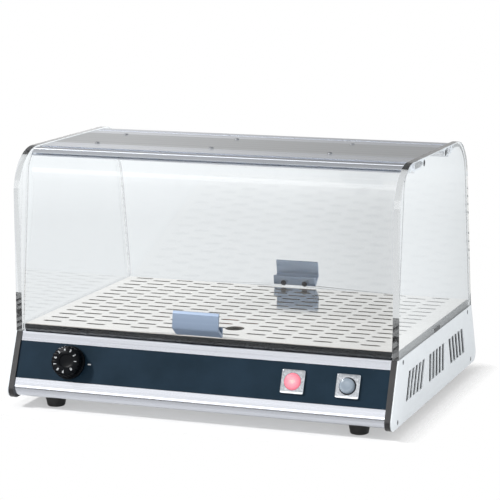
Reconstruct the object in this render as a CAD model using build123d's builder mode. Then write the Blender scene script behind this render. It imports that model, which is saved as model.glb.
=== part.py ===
from build123d import *
import os
from math import cos, radians, sin, tan

# Heated counter-top display case: a sloped metal base with the controls, clear side
# panels, a metal top plate, and a clear curved flap at the front and at the rear.
# Millimetres, +Z up, +Y to the rear, origin on the counter under the centre of the base.

# Driving dimensions of the base
overall_width = 500.0
foot_height = 15.5
end_drop = 2.5
seat_height = 94.0
seat_half_depth = 174.0
base_slope = 22.5
nose_radius = 11.0
fascia_wall = 3.6
fascia_flange_edge = 150.0
cover_thickness = 1.5
end_frame_thickness = 7.0
frame_vent_width = 11.0
cover_vent_width = 10.0
sheet = 1.2

# Driving dimensions of the clear upper case
glass_top = 323.0
side_glass_thickness = 8.0
side_glass_corner = 55.0
rear_edge_lean = 9.4
flap_thickness = 4.0
flap_bottom = 94.4
front_flap_lean = 6.4
front_flap_bend = 30.0
rear_flap_lean = 9.6
rear_flap_bend = 50.0
flap_top = 320.0

# Driving dimensions of the top plate and its hinges
plate_top = 322.0
plate_thickness = 1.5
plate_front_edge = -74.0
plate_rear_edge = 31.0
bead_height = 316.0
bead_radius = 3.0
front_bead_y = -121.0
rear_bead_y = 64.0
hinge_play = 0.3

# Driving dimensions of the tray
tray_top = 103.0
tray_thickness = 1.0
tray_width = 480.0
tray_half_depth = 165.5
slot_length = 25.0
slot_width = 5.5
slot_pitch_x = 60.0
slot_pitch_y = 23.1
finger_hole_diameter = 24.0

# Places of the controls on the sloped front
panel_start = 11.8
panel_height = 47.2
panel_thickness = 1.5
panel_recess = 1.6
control_line = panel_start + panel_height / 2
knob_x = -170.0
lamp_x = 123.0
switch_x = 192.0
bezel_size = 30.0
bezel_thickness = 2.6

# Values that follow from the driving dimensions
half_width = overall_width / 2
glass_inner_x = half_width - side_glass_thickness
cover_inner_x = half_width - cover_thickness
frame_inner_x = cover_inner_x - end_frame_thickness
fascia_length = 2 * frame_inner_x
flap_length = 2 * (glass_inner_x - 1.0)
rail_length = 2 * (glass_inner_x - 0.4)
slope_length = (seat_height - foot_height) / cos(radians(base_slope))
panel_face = panel_thickness - panel_recess
deck_top = tray_top - tray_thickness
tray_row_centre = 7.3
tray_column_centre = -4.0

os.makedirs("parts", exist_ok=True)


def base_point(down, out):
    """Point (y, z) of the front slope: down from the seat edge, and out from the slope."""
    lean = radians(base_slope)
    y = -seat_half_depth - down * sin(lean) - out * cos(lean)
    z = seat_height - down * cos(lean) + out * sin(lean)
    return (y, z)


def control_plane(x, out=0.0, down=control_line):
    """Plane on the sloped front at x, facing outwards, with its Y axis up the slope."""
    lean = radians(base_slope)
    y, z = base_point(down, out)
    return Plane(origin=(x, y, z), x_dir=(1, 0, 0), z_dir=(0, -cos(lean), sin(lean)))


def polygon(points):
    """Flat face with straight sides through the points."""
    with BuildSketch() as shape:
        with BuildLine():
            Polyline(*points, close=True)
        make_face()
    return shape.sketch_local


def arc_band(centre, inner_radius, outer_radius, start, size):
    """Face between two arcs about one centre, from the start angle on."""
    with BuildSketch() as shape:
        with BuildLine():
            outer = CenterArc(centre, outer_radius, start, size)
            inner = CenterArc(centre, inner_radius, start, size)
            Line(outer @ 0, inner @ 0)
            Line(outer @ 1, inner @ 1)
        make_face()
    return shape.sketch_local


def base_outline(margin):
    """Side outline of the ends: past the fascias by the margin, and lower by the drop."""
    lean = radians(base_slope)
    bottom = foot_height - end_drop
    top_y, top_z = base_point(margin * tan(lean), margin)
    low_y = top_y - (top_z - bottom) * tan(lean)
    with BuildSketch() as shape:
        with BuildLine():
            Polyline((top_y, top_z), (low_y, bottom), (-low_y, bottom), (-top_y, top_z), close=True)
        make_face()
        fillet(shape.vertices().group_by(Axis.Y)[0], nose_radius)
    return shape.sketch_local


def vent_slots(width):
    """Three groups of five slots; the outer groups lean with the ends of the base."""
    low, high = 36.5, 71.5
    pitch = 15.3
    group_distance = 99.0
    group_lean = 20.0
    with BuildSketch() as slots:
        for group in (-1, 0, 1):
            shift = group * (high - low) * tan(radians(group_lean)) / 2
            for number in range(-2, 3):
                y = group * group_distance + number * pitch
                corners = [(y + shift - width / 2, low), (y + shift + width / 2, low),
                           (y - shift + width / 2, high), (y - shift - width / 2, high)]
                add(polygon(corners))
    return slots.sketch_local


# Base: the two end-to-end extrusions that form the sloped front and rear

cover_screw_head = 3.2
cover_screw_head_height = 1.4
screw_port_radius = 3.8
screw_hole_radius = 1.7
screw_shank_radius = 1.6
upper_screw_y, upper_screw_z = 154.5, 88.0
lower_screw_y, lower_screw_z = 176.0, foot_height + screw_port_radius + 0.2
cover_screw_places = [(-upper_screw_y, upper_screw_z), (upper_screw_y, upper_screw_z),
                      (-lower_screw_y, lower_screw_z), (lower_screw_y, lower_screw_z)]
foot_x, foot_y = 200.0, 167.0
foot_screw_radius = 2.0
rivet_x, rivet_y = 180.0, 156.0
rivet_radius = 1.6
fastener_sides = 6
seat_edge_round = 1.2
recess_edge_round = 0.5


def fascia_section():
    """Section of the fascia: strips above and below a recess, with two screw ports."""
    low_y, low_z = base_point(slope_length, 0)
    inside = -fascia_flange_edge + 10
    with BuildSketch() as section:
        with BuildLine():
            Polyline(base_point(0, 0), (low_y, low_z), (inside, foot_height), (inside, seat_height),
                     close=True)
        make_face()
        fillet(section.vertices().sort_by(Axis.X)[0], nose_radius)
        offset(amount=-fascia_wall, mode=Mode.SUBTRACT)
        with Locations((-fascia_flange_edge, 0)):
            Rectangle(40, 400, align=(Align.MIN, Align.CENTER), mode=Mode.SUBTRACT)
        recess_end = panel_start + panel_height
        add(polygon([base_point(panel_start, -panel_recess), base_point(panel_start, 2),
                     base_point(recess_end, 2), base_point(recess_end, -panel_recess)]),
            mode=Mode.SUBTRACT)
        seat_edge = section.vertices().sort_by_distance(base_point(0, 0))[0]
        fillet(seat_edge, seat_edge_round)
        for down in (panel_start, recess_end):
            recess_edge = section.vertices().sort_by_distance(base_point(down, 0))[0]
            fillet(recess_edge, recess_edge_round)
        with Locations(cover_screw_places[0], cover_screw_places[2]):
            Circle(screw_port_radius)
            Circle(screw_hole_radius, mode=Mode.SUBTRACT)
    return section.sketch_local


control_hole = 25.0
spindle_hole_radius = 5.5

with BuildPart() as front_fascia:
    with BuildSketch(Plane.YZ):
        add(fascia_section())
    extrude(amount=fascia_length / 2, both=True)
    with BuildSketch(control_plane(0)):
        with Locations((knob_x, 0)):
            Circle(spindle_hole_radius)
        with Locations((lamp_x, 0), (switch_x, 0)):
            Rectangle(control_hole, control_hole)
    extrude(amount=-fascia_wall - 1, mode=Mode.SUBTRACT)
    with BuildSketch(Plane.XY.offset(foot_height)):
        with Locations((-foot_x, -foot_y), (foot_x, -foot_y)):
            RegularPolygon(foot_screw_radius + 0.2, fastener_sides)
        with Locations((-rivet_x, -rivet_y), (0, -rivet_y), (rivet_x, -rivet_y)):
            RegularPolygon(rivet_radius, fastener_sides)
    extrude(amount=fascia_wall, mode=Mode.SUBTRACT)
front_fascia.part.label = "front_fascia"
export_step(front_fascia.part, "parts/front_fascia.step")

gland_x = -180.0
gland_down = 48.0
gland_thread_radius = 6.0

with BuildPart() as rear_fascia:
    with BuildSketch(Plane.YZ):
        add(fascia_section())
    extrude(amount=fascia_length / 2, both=True)
    with BuildSketch(control_plane(gland_x, 0, gland_down)):
        Circle(gland_thread_radius + 0.1)
    extrude(amount=-fascia_wall - 1, mode=Mode.SUBTRACT)
    with BuildSketch(Plane.XY.offset(foot_height)):
        with Locations((-foot_x, -foot_y), (foot_x, -foot_y)):
            RegularPolygon(foot_screw_radius + 0.2, fastener_sides)
        with Locations((-rivet_x, -rivet_y), (0, -rivet_y), (rivet_x, -rivet_y)):
            RegularPolygon(rivet_radius, fastener_sides)
    extrude(amount=fascia_wall, mode=Mode.SUBTRACT)
    mirror(about=Plane.XZ, mode=Mode.REPLACE)
rear_fascia.part.label = "rear_fascia"
export_step(rear_fascia.part, "parts/rear_fascia.step")

# Panels that lie in the recesses of the fascias

panel_length = fascia_length - 0.6

with BuildPart() as control_panel:
    with BuildSketch(control_plane(0, -panel_recess)):
        Rectangle(panel_length, panel_height - 0.4)
        with Locations((knob_x, 0)):
            Circle(spindle_hole_radius, mode=Mode.SUBTRACT)
        with Locations((lamp_x, 0), (switch_x, 0)):
            Rectangle(control_hole, control_hole, mode=Mode.SUBTRACT)
    extrude(amount=panel_thickness)
control_panel.part.label = "control_panel"
export_step(control_panel.part, "parts/control_panel.step")

with BuildPart() as rear_panel:
    with BuildSketch(control_plane(0, -panel_recess)):
        Rectangle(panel_length, panel_height - 0.4)
        with Locations((gland_x, control_line - gland_down)):
            Circle(gland_thread_radius + 0.1, mode=Mode.SUBTRACT)
    extrude(amount=panel_thickness)
    mirror(about=Plane.XZ, mode=Mode.REPLACE)
rear_panel.part.label = "rear_panel"
export_step(rear_panel.part, "parts/rear_panel.step")

# Ends of the base: a thick frame with a slot for the glass, and a thin cover over it

frame_margin = 1.5
cover_margin = 1.0
tongue_half_length = 140.0
tongue_thickness = 3.0
tongue_depth = 9.0
tongue_x = half_width - 5.0

for side, side_name in ((-1, "left"), (1, "right")):
    with BuildPart() as end_frame:
        with BuildSketch(Plane.YZ.offset(side * frame_inner_x)):
            add(base_outline(frame_margin))
            add(vent_slots(frame_vent_width), mode=Mode.SUBTRACT)
            with Locations(*cover_screw_places):
                RegularPolygon(screw_hole_radius + 0.2, fastener_sides, mode=Mode.SUBTRACT)
        extrude(amount=side * end_frame_thickness)
        with BuildSketch(Plane.XY.offset(seat_height)):
            with Locations((side * tongue_x, 0)):
                Rectangle(tongue_thickness + 0.4, 2 * tongue_half_length + 0.4)
        extrude(amount=-tongue_depth - 0.5, mode=Mode.SUBTRACT)
    end_frame.part.label = f"end_frame_{side_name}"
    export_step(end_frame.part, f"parts/end_frame_{side_name}.step")

    with BuildPart() as side_cover:
        with BuildSketch(Plane.YZ.offset(side * cover_inner_x)):
            add(base_outline(cover_margin))
            add(vent_slots(cover_vent_width), mode=Mode.SUBTRACT)
        extrude(amount=side * cover_thickness)
        with BuildSketch(Plane.YZ.offset(side * half_width)):
            with Locations(*cover_screw_places):
                RegularPolygon(cover_screw_head + 0.1, fastener_sides)
        extrude(amount=-side * cover_thickness, taper=45, mode=Mode.SUBTRACT)
    side_cover.part.label = f"side_cover_{side_name}"
    export_step(side_cover.part, f"parts/side_cover_{side_name}.step")

cover_screw_length = 22.0

with BuildPart() as side_cover_screws:
    for side in (-1, 1):
        for y, z in cover_screw_places:
            plane = Plane(origin=(side * half_width, y, z), x_dir=(0, 1, 0), z_dir=(side, 0, 0))
            with BuildSketch(plane):
                RegularPolygon(cover_screw_head, fastener_sides)
            extrude(amount=-cover_screw_head_height, taper=45)
            with BuildSketch(plane):
                RegularPolygon(screw_shank_radius, fastener_sides)
            extrude(amount=-cover_screw_length)
side_cover_screws.part.label = "side_cover_screws"
export_step(side_cover_screws.part, "parts/side_cover_screws.step")

# Bottom pan with cooling slots, riveted to the lower flanges of the fascias

pan_floor = foot_height + fascia_wall
pan_half_width = 238.0
pan_half_depth = 162.0
pan_wall = 16.0
pan_slot_length, pan_slot_width = 50.0, 6.0

with BuildPart() as chassis_pan:
    with BuildSketch(Plane.XY.offset(pan_floor)):
        Rectangle(2 * pan_half_width, 2 * pan_half_depth)
    extrude(amount=pan_wall)
    top_face = chassis_pan.faces().sort_by(Axis.Z)[-1]
    offset(amount=-sheet, openings=top_face)
    with BuildSketch(Plane.XY.offset(pan_floor)):
        with GridLocations(90, 60, 4, 3):
            Rectangle(pan_slot_length, pan_slot_width)
        with Locations(*[(x, side * rivet_y) for side in (-1, 1) for x in (-rivet_x, 0, rivet_x)]):
            RegularPolygon(rivet_radius, fastener_sides)
    extrude(amount=sheet, mode=Mode.SUBTRACT)
chassis_pan.part.label = "chassis_pan"
export_step(chassis_pan.part, "parts/chassis_pan.step")

rivet_head_height = 1.2

with BuildPart() as pan_rivets:
    for x in (-rivet_x, 0, rivet_x):
        for y in (-rivet_y, rivet_y):
            with BuildSketch(Plane.XY.offset(foot_height)):
                with Locations((x, y)):
                    RegularPolygon(rivet_radius, fastener_sides)
            extrude(amount=fascia_wall + sheet)
            with BuildSketch(Plane.XY.offset(pan_floor + sheet)):
                with Locations((x, y)):
                    RegularPolygon(2 * rivet_radius, fastener_sides)
            extrude(amount=rivet_head_height, taper=30)
pan_rivets.part.label = "pan_rivets"
export_step(pan_rivets.part, "parts/pan_rivets.step")

# Feet: tapered rubber, each held by a screw and a nut

foot_top_radius = 14.0
foot_bottom_radius = 11.0
foot_edge = 1.2
foot_recess_radius = 4.6
foot_recess_depth = 5.0
foot_screw_head = 3.6
foot_screw_head_height = 2.6
foot_nut_height = 3.0
foot_places = {"front_left": (-1, -1), "front_right": (1, -1), "rear_left": (-1, 1),
               "rear_right": (1, 1)}

for place_name, (side_x, side_y) in foot_places.items():
    with BuildPart() as foot:
        centre = (side_x * foot_x, side_y * foot_y)
        with Locations(centre):
            Cone(foot_bottom_radius, foot_top_radius, foot_height,
                 align=(Align.CENTER, Align.CENTER, Align.MIN))
        chamfer(foot.edges().sort_by(Axis.Z)[0], foot_edge)
        with BuildSketch(Plane.XY):
            with Locations(centre):
                RegularPolygon(foot_screw_radius + 0.1, fastener_sides)
        extrude(amount=foot_height, mode=Mode.SUBTRACT)
        with BuildSketch(Plane.XY):
            with Locations(centre):
                RegularPolygon(foot_recess_radius, fastener_sides)
        extrude(amount=foot_recess_depth, mode=Mode.SUBTRACT)
    foot.part.label = f"foot_{place_name}"
    export_step(foot.part, f"parts/foot_{place_name}.step")

foot_centres = [(side_x * foot_x, side_y * foot_y) for side_x, side_y in foot_places.values()]
foot_screw_bottom = foot_recess_depth - foot_screw_head_height
foot_screw_top = pan_floor + foot_nut_height + 1.0

with BuildPart() as foot_screws:
    with BuildSketch(Plane.XY.offset(foot_screw_bottom)):
        with Locations(*foot_centres):
            RegularPolygon(foot_screw_head, fastener_sides)
    extrude(amount=foot_screw_head_height)
    with BuildSketch(Plane.XY.offset(foot_screw_bottom)):
        with Locations(*foot_centres):
            RegularPolygon(foot_screw_radius, fastener_sides)
    extrude(amount=foot_screw_top - foot_screw_bottom)
foot_screws.part.label = "foot_screws"
export_step(foot_screws.part, "parts/foot_screws.step")

with BuildPart() as foot_nuts:
    with BuildSketch(Plane.XY.offset(pan_floor)):
        with Locations(*foot_centres):
            RegularPolygon(3.5, 6, major_radius=False)
            RegularPolygon(foot_screw_radius, fastener_sides, mode=Mode.SUBTRACT)
    extrude(amount=foot_nut_height)
foot_nuts.part.label = "foot_nuts"
export_step(foot_nuts.part, "parts/foot_nuts.step")

# Deck: the dark ring that carries the tray, and the strips that carry the heater pan

deck_half_width = 241.0
deck_half_depth = 166.5
deck_flange = 14.0

with BuildPart() as deck_frame:
    with BuildSketch(Plane.XY.offset(seat_height)):
        Rectangle(2 * deck_half_width, 2 * deck_half_depth)
    extrude(amount=deck_top - seat_height)
    with BuildSketch(Plane.XY.offset(seat_height)):
        Rectangle(2 * (deck_half_width - sheet), 2 * (deck_half_depth - sheet))
    extrude(amount=deck_top - seat_height - sheet, mode=Mode.SUBTRACT)
    with BuildSketch(Plane.XY.offset(seat_height)):
        Rectangle(2 * (deck_half_width - deck_flange), 2 * (deck_half_depth - deck_flange))
    extrude(amount=deck_top - seat_height, mode=Mode.SUBTRACT)
deck_frame.part.label = "deck_frame"
export_step(deck_frame.part, "parts/deck_frame.step")

heater_half_width = 212.0
heater_front, heater_rear = -125.0, 150.0
heater_floor = 66.0
strip_thickness = 1.5
strip_width = 22.0
strip_top = seat_height + strip_thickness
heater_sheet = 1.0
heater_flange = 18.0

for side, side_name in ((-1, "left"), (1, "right")):
    with BuildPart() as pan_strip:
        with BuildSketch(Plane.XY.offset(seat_height)):
            with Locations((side * (heater_half_width + 1.0 + strip_width / 2), 0)):
                Rectangle(strip_width, 2 * (deck_half_depth - 4.0))
        extrude(amount=strip_thickness)
    pan_strip.part.label = f"heater_strip_{side_name}"
    export_step(pan_strip.part, f"parts/heater_strip_{side_name}.step")

element_radius = 4.0
element_height = 82.0
element_sides = 6
element_columns = 4
element_pitch = 110.0
element_front_turn = -45.0
element_rear_turn = 85.0
element_end_y = heater_front - 22.0
element_first_x = -element_pitch * (element_columns - 1) / 2
capillary_radius = 0.9
bulb_height = 90.0
bulb_y = -112.0
capillary_hole_x = -121.0

with BuildPart() as heater_pan:
    middle_y = (heater_front + heater_rear) / 2
    with BuildSketch(Plane.XY.offset(heater_floor)):
        with Locations((0, middle_y)):
            Rectangle(2 * heater_half_width, heater_rear - heater_front)
    extrude(amount=strip_top + heater_sheet - heater_floor)
    offset(amount=-heater_sheet, openings=heater_pan.faces().sort_by(Axis.Z)[-1])
    with BuildSketch(Plane.XY.offset(strip_top)):
        for side in (-1, 1):
            with Locations((side * (heater_half_width + heater_flange / 2 - 1.0), middle_y)):
                Rectangle(heater_flange, heater_rear - heater_front)
    extrude(amount=heater_sheet)
    with BuildSketch(Plane.XZ.offset(-heater_front)):
        with Locations((element_first_x, element_height), (-element_first_x, element_height)):
            RegularPolygon(element_radius + 0.2, element_sides)
        with Locations((capillary_hole_x, bulb_height)):
            RegularPolygon(capillary_radius + 1.0, fastener_sides)
    extrude(amount=-heater_sheet, mode=Mode.SUBTRACT)
heater_pan.part.label = "heater_pan"
export_step(heater_pan.part, "parts/heater_pan.step")

# Heating element: one tube that runs back and forth under the tray

with BuildPart() as heating_element:
    turn = element_pitch / 2
    with BuildLine():
        for column in range(element_columns):
            x = element_first_x + column * element_pitch
            outer_column = column in (0, element_columns - 1)
            front_y = element_end_y if outer_column else element_front_turn
            Line((x, front_y, element_height), (x, element_rear_turn, element_height))
            if column < element_columns - 1:
                at_rear = column % 2 == 0
                turn_y = element_rear_turn if at_rear else element_front_turn
                bow_y = turn_y + turn if at_rear else turn_y - turn
                ThreePointArc((x, turn_y, element_height), (x + turn, bow_y, element_height),
                              (x + element_pitch, turn_y, element_height))
    with BuildSketch(Plane(origin=(element_first_x, element_end_y, element_height),
                           x_dir=(1, 0, 0), z_dir=(0, 1, 0))):
        RegularPolygon(element_radius, element_sides)
    sweep()
heating_element.part.label = "heating_element"
export_step(heating_element.part, "parts/heating_element.step")

with BuildPart() as element_cradles:
    for y in (-40.0, 65.0):
        with BuildSketch(Plane.XZ.offset(-y)):
            with Locations((0, heater_floor + heater_sheet)):
                Rectangle(2 * heater_half_width - 10.0, element_height - heater_floor - heater_sheet,
                          align=(Align.CENTER, Align.MIN))
            for column in range(element_columns):
                with Locations((element_first_x + column * element_pitch, element_height)):
                    RegularPolygon(element_radius + 0.1, element_sides, mode=Mode.SUBTRACT)
        extrude(amount=1.5)
element_cradles.part.label = "element_cradles"
export_step(element_cradles.part, "parts/element_cradles.step")

bush_half_width = 7.0
bush_length = 6.0

with BuildPart() as element_bushes:
    with BuildSketch(Plane.XZ.offset(-heater_front)):
        for x in (element_first_x, -element_first_x):
            with Locations((x, element_height)):
                RegularPolygon(bush_half_width, 6, major_radius=False)
                RegularPolygon(element_radius, element_sides, mode=Mode.SUBTRACT)
    extrude(amount=bush_length)
element_bushes.part.label = "element_bushes"
export_step(element_bushes.part, "parts/element_bushes.step")

# Thermostat behind the knob, and its sensing bulb on a thin tube

spindle_radius = 3.0
spindle_play = 0.08
spindle_inner_end = -17.0
thermostat_depth = 24.0
thermostat_front = -fascia_wall
thermostat_width, thermostat_height = 38.0, 36.0
thermostat_neck_radius = 5.0
thermostat_neck_end = 1.2
terminal_width, terminal_thickness, terminal_length = 6.3, 0.8, 8.0

with BuildPart() as thermostat_body:
    with BuildSketch(control_plane(knob_x, thermostat_front)):
        RectangleRounded(thermostat_width, thermostat_height, 3.0)
    extrude(amount=-thermostat_depth)
    with BuildSketch(control_plane(knob_x, thermostat_front)):
        Circle(thermostat_neck_radius)
    extrude(amount=-thermostat_front + thermostat_neck_end)
    with BuildSketch(control_plane(knob_x, thermostat_neck_end)):
        Circle(spindle_radius + spindle_play)
    extrude(amount=spindle_inner_end - 3.0, mode=Mode.SUBTRACT)
    with BuildSketch(control_plane(knob_x, thermostat_front - thermostat_depth)):
        with Locations((-10.0, 8.0), (-10.0, -8.0)):
            Rectangle(terminal_width, terminal_thickness)
    extrude(amount=-terminal_length)
thermostat_body.part.label = "thermostat_body"
export_step(thermostat_body.part, "parts/thermostat_body.step")

tube_y, tube_z = base_point(control_line, thermostat_front - thermostat_depth)
bulb_start_x, bulb_length = -60.0, 80.0
bulb_radius = 3.0
bulb_sides = 8

with BuildPart() as sensing_bulb:
    with BuildLine() as tube_path:
        route = [(knob_x, tube_y, tube_z), (knob_x, tube_y + 12.0, tube_z - 5.0),
                 (-150.0, -138.0, 62.0), (-130.0, -138.0, bulb_height), (-112.0, bulb_y, bulb_height),
                 (bulb_start_x, bulb_y, bulb_height)]
        FilletPolyline(*route, radius=6.0)
    with BuildSketch(Plane(origin=tube_path.line @ 0, z_dir=tube_path.line % 0)):
        RegularPolygon(capillary_radius, 6)
    sweep()
    with BuildSketch(Plane.YZ.offset(bulb_start_x)):
        with Locations((bulb_y, bulb_height)):
            RegularPolygon(bulb_radius, bulb_sides)
    extrude(amount=bulb_length)
sensing_bulb.part.label = "sensing_bulb"
export_step(sensing_bulb.part, "parts/sensing_bulb.step")

clip_height = 12.0
clip_width = 8.0

with BuildPart() as bulb_clips:
    for x in (bulb_start_x + 16.0, bulb_start_x + bulb_length - 24.0):
        with BuildSketch(Plane.YZ.offset(x)):
            with Locations((bulb_y, bulb_height)):
                RegularPolygon(bulb_radius + 1.5, bulb_sides)
            wall_y = heater_front + heater_sheet
            with Locations((wall_y, bulb_height - 6.0)):
                Rectangle(sheet, clip_height, align=(Align.MIN, Align.CENTER))
            with Locations((wall_y, bulb_height - bulb_radius - sheet / 2)):
                Rectangle(bulb_y - wall_y, sheet, align=(Align.MIN, Align.CENTER))
            with Locations((bulb_y, bulb_height)):
                RegularPolygon(bulb_radius, bulb_sides, mode=Mode.SUBTRACT)
        extrude(amount=clip_width)
bulb_clips.part.label = "bulb_clips"
export_step(bulb_clips.part, "parts/bulb_clips.step")

# Knob and spindle, which turn together

knob_radius = 21.0
knob_skirt = 3.5
knob_height = 15.0
knob_gap = 1.6
knob_flutes = 24
flute_depth = 1.5
knob_dish_radius, knob_dish_depth = 8.0, 1.2
spindle_bore = 11.0

with BuildPart() as knob:
    with BuildSketch(control_plane(knob_x, knob_gap)):
        Circle(knob_radius)
    extrude(amount=knob_skirt)
    with BuildSketch(control_plane(knob_x, knob_gap + knob_skirt)):
        Circle(knob_radius - 1.5)
        with PolarLocations(knob_radius - 1.2, knob_flutes):
            RegularPolygon(flute_depth, 4, mode=Mode.SUBTRACT)
    extrude(amount=knob_height - knob_skirt)
    with BuildSketch(control_plane(knob_x, knob_gap + knob_height)):
        Circle(knob_dish_radius)
    extrude(amount=-knob_dish_depth, mode=Mode.SUBTRACT)
    with BuildSketch(control_plane(knob_x, knob_gap)):
        Circle(spindle_radius)
    extrude(amount=spindle_bore, mode=Mode.SUBTRACT)
knob.part.label = "knob"
export_step(knob.part, "parts/knob.step")

with BuildPart() as knob_spindle:
    with BuildSketch(control_plane(knob_x, spindle_inner_end)):
        Circle(spindle_radius)
    extrude(amount=knob_gap + spindle_bore - spindle_inner_end)
knob_spindle.part.label = "knob_spindle"
export_step(knob_spindle.part, "parts/knob_spindle.step")

# Pilot lamp and push switch, in like square bezels

body_size = control_hole - 0.4
window_radius = 10.6

for x, bezel_name in ((lamp_x, "lamp"), (switch_x, "switch")):
    with BuildPart() as bezel:
        with BuildSketch(control_plane(x, panel_face)):
            RectangleRounded(bezel_size, bezel_size, 2.0)
        extrude(amount=bezel_thickness, taper=8)
        with BuildSketch(control_plane(x, panel_face)):
            Circle(window_radius)
        extrude(amount=bezel_thickness, mode=Mode.SUBTRACT)
    bezel.part.label = f"{bezel_name}_bezel"
    export_step(bezel.part, f"parts/{bezel_name}_bezel.step")

lamp_depth = 26.0
lens_base = -3.0
lens_rise = 1.6
bulb_well_radius, bulb_well_depth = 8.0, 15.0
small_bulb_radius, small_bulb_length = 3.0, 11.0
lens_edge = 1.0

with BuildPart() as lamp_body:
    with BuildSketch(control_plane(lamp_x, -lamp_depth)):
        Rectangle(body_size, body_size)
    extrude(amount=lamp_depth + panel_face)
    with BuildSketch(control_plane(lamp_x, lens_base)):
        Circle(window_radius)
    extrude(amount=-lens_base, mode=Mode.SUBTRACT)
    with BuildSketch(control_plane(lamp_x, lens_base)):
        Circle(bulb_well_radius)
    extrude(amount=-bulb_well_depth, mode=Mode.SUBTRACT)
    with BuildSketch(control_plane(lamp_x, -lamp_depth)):
        with Locations((-6.0, 0), (6.0, 0)):
            Rectangle(terminal_thickness, terminal_width)
    extrude(amount=-terminal_length)
lamp_body.part.label = "lamp_body"
export_step(lamp_body.part, "parts/lamp_body.step")

with BuildPart() as lamp_lens:
    with BuildSketch(control_plane(lamp_x, lens_base)):
        Circle(window_radius - 0.2)
    extrude(amount=bezel_thickness - lens_base + lens_rise)
    chamfer(lamp_lens.faces().sort_by(Axis.Y)[0].edges(), lens_edge)
lamp_lens.part.label = "lamp_lens"
export_step(lamp_lens.part, "parts/lamp_lens.step")

with BuildPart() as lamp_bulb:
    with BuildSketch(control_plane(lamp_x, lens_base - bulb_well_depth)):
        Circle(small_bulb_radius)
    extrude(amount=small_bulb_length)
    fillet(lamp_bulb.faces().sort_by(Axis.Y)[0].edges(), 2.4)
lamp_bulb.part.label = "lamp_bulb"
export_step(lamp_bulb.part, "parts/lamp_bulb.step")

switch_depth = 30.0
button_radius = 9.6
button_base = -4.0
button_rise = 8.5
button_travel = 3.5
button_edge = 1.4
plunger_radius = 3.5
plunger_length = 12.0
switch_well = button_base - button_travel - 1.0

with BuildPart() as switch_body:
    with BuildSketch(control_plane(switch_x, -switch_depth)):
        Rectangle(body_size, body_size)
    extrude(amount=switch_depth + panel_face)
    with BuildSketch(control_plane(switch_x, switch_well)):
        Circle(window_radius)
    extrude(amount=-switch_well, mode=Mode.SUBTRACT)
    with BuildSketch(control_plane(switch_x, switch_well)):
        Circle(plunger_radius + spindle_play)
    extrude(amount=-plunger_length, mode=Mode.SUBTRACT)
    with BuildSketch(control_plane(switch_x, -switch_depth)):
        with Locations((-6.0, 5.0), (6.0, 5.0), (-6.0, -5.0), (6.0, -5.0)):
            Rectangle(terminal_thickness, terminal_width)
    extrude(amount=-terminal_length)
switch_body.part.label = "switch_body"
export_step(switch_body.part, "parts/switch_body.step")

with BuildPart() as switch_button:
    with BuildSketch(control_plane(switch_x, button_base)):
        Circle(button_radius)
    extrude(amount=button_rise - button_base)
    chamfer(switch_button.faces().sort_by(Axis.Y)[0].edges(), button_edge)
switch_button.part.label = "switch_button"
export_step(switch_button.part, "parts/switch_button.step")

with BuildPart() as switch_plunger:
    with BuildSketch(control_plane(switch_x, button_base)):
        Circle(plunger_radius)
    extrude(amount=-plunger_length)
switch_plunger.part.label = "switch_plunger"
export_step(switch_plunger.part, "parts/switch_plunger.step")

# Mains entry: the gland in the rear panel, the terminal block and the earth stud

gland_bore_radius = 4.0
gland_hex_half_width, gland_hex_height = 9.0, 4.0
gland_cap_start, gland_cap_radius, gland_cap_height = 3.8, 8.2, 7.0
gland_inner_length = 12.0

with BuildPart() as cable_gland:
    with BuildSketch(control_plane(gland_x, -gland_inner_length, gland_down)):
        Circle(gland_thread_radius)
    extrude(amount=gland_inner_length)
    with BuildSketch(control_plane(gland_x, -panel_recess + panel_thickness, gland_down)):
        RegularPolygon(gland_hex_half_width, 6, major_radius=False)
    extrude(amount=gland_hex_height)
    with BuildSketch(control_plane(gland_x, gland_cap_start, gland_down)):
        Circle(gland_cap_radius)
    extrude(amount=gland_cap_height, taper=14)
    with BuildSketch(control_plane(gland_x, -gland_inner_length, gland_down)):
        Circle(gland_bore_radius)
    extrude(amount=2 * gland_inner_length, mode=Mode.SUBTRACT)
    mirror(about=Plane.XZ, mode=Mode.REPLACE)
cable_gland.part.label = "cable_gland"
export_step(cable_gland.part, "parts/cable_gland.step")

with BuildPart() as gland_nut:
    with BuildSketch(control_plane(gland_x, -fascia_wall, gland_down)):
        RegularPolygon(gland_hex_half_width, 6, major_radius=False)
        Circle(gland_thread_radius, mode=Mode.SUBTRACT)
    extrude(amount=-gland_hex_height)
    mirror(about=Plane.XZ, mode=Mode.REPLACE)
gland_nut.part.label = "gland_nut"
export_step(gland_nut.part, "parts/gland_nut.step")

pan_surface = pan_floor + sheet
block_x, block_y = -150.0, 105.0
poles = 5
pole_pitch = 12.0
block_depth = 20.0
block_base_height, block_height = 8.0, 17.0
stud_x, stud_radius, stud_height = -90.0, 2.5, 16.0
stud_nut_half_width, stud_nut_height = 4.0, 4.0

with BuildPart() as terminal_block:
    with BuildSketch(Plane.XY.offset(pan_surface)):
        with Locations((block_x, block_y)):
            Rectangle(poles * pole_pitch + 4.0, block_depth)
    extrude(amount=block_base_height)
    with BuildSketch(Plane.XY.offset(pan_surface + block_base_height)):
        with Locations((block_x, block_y)):
            with GridLocations(pole_pitch, 1, poles, 1):
                Rectangle(pole_pitch - 2.0, block_depth)
    extrude(amount=block_height - block_base_height)
    with BuildSketch(Plane.XY.offset(pan_surface + block_height)):
        with Locations((block_x, block_y)):
            with GridLocations(pole_pitch, block_depth / 2, poles, 2):
                RegularPolygon(2.0, 6)
    extrude(amount=-6.0, mode=Mode.SUBTRACT)
terminal_block.part.label = "terminal_block"
export_step(terminal_block.part, "parts/terminal_block.step")

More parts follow.
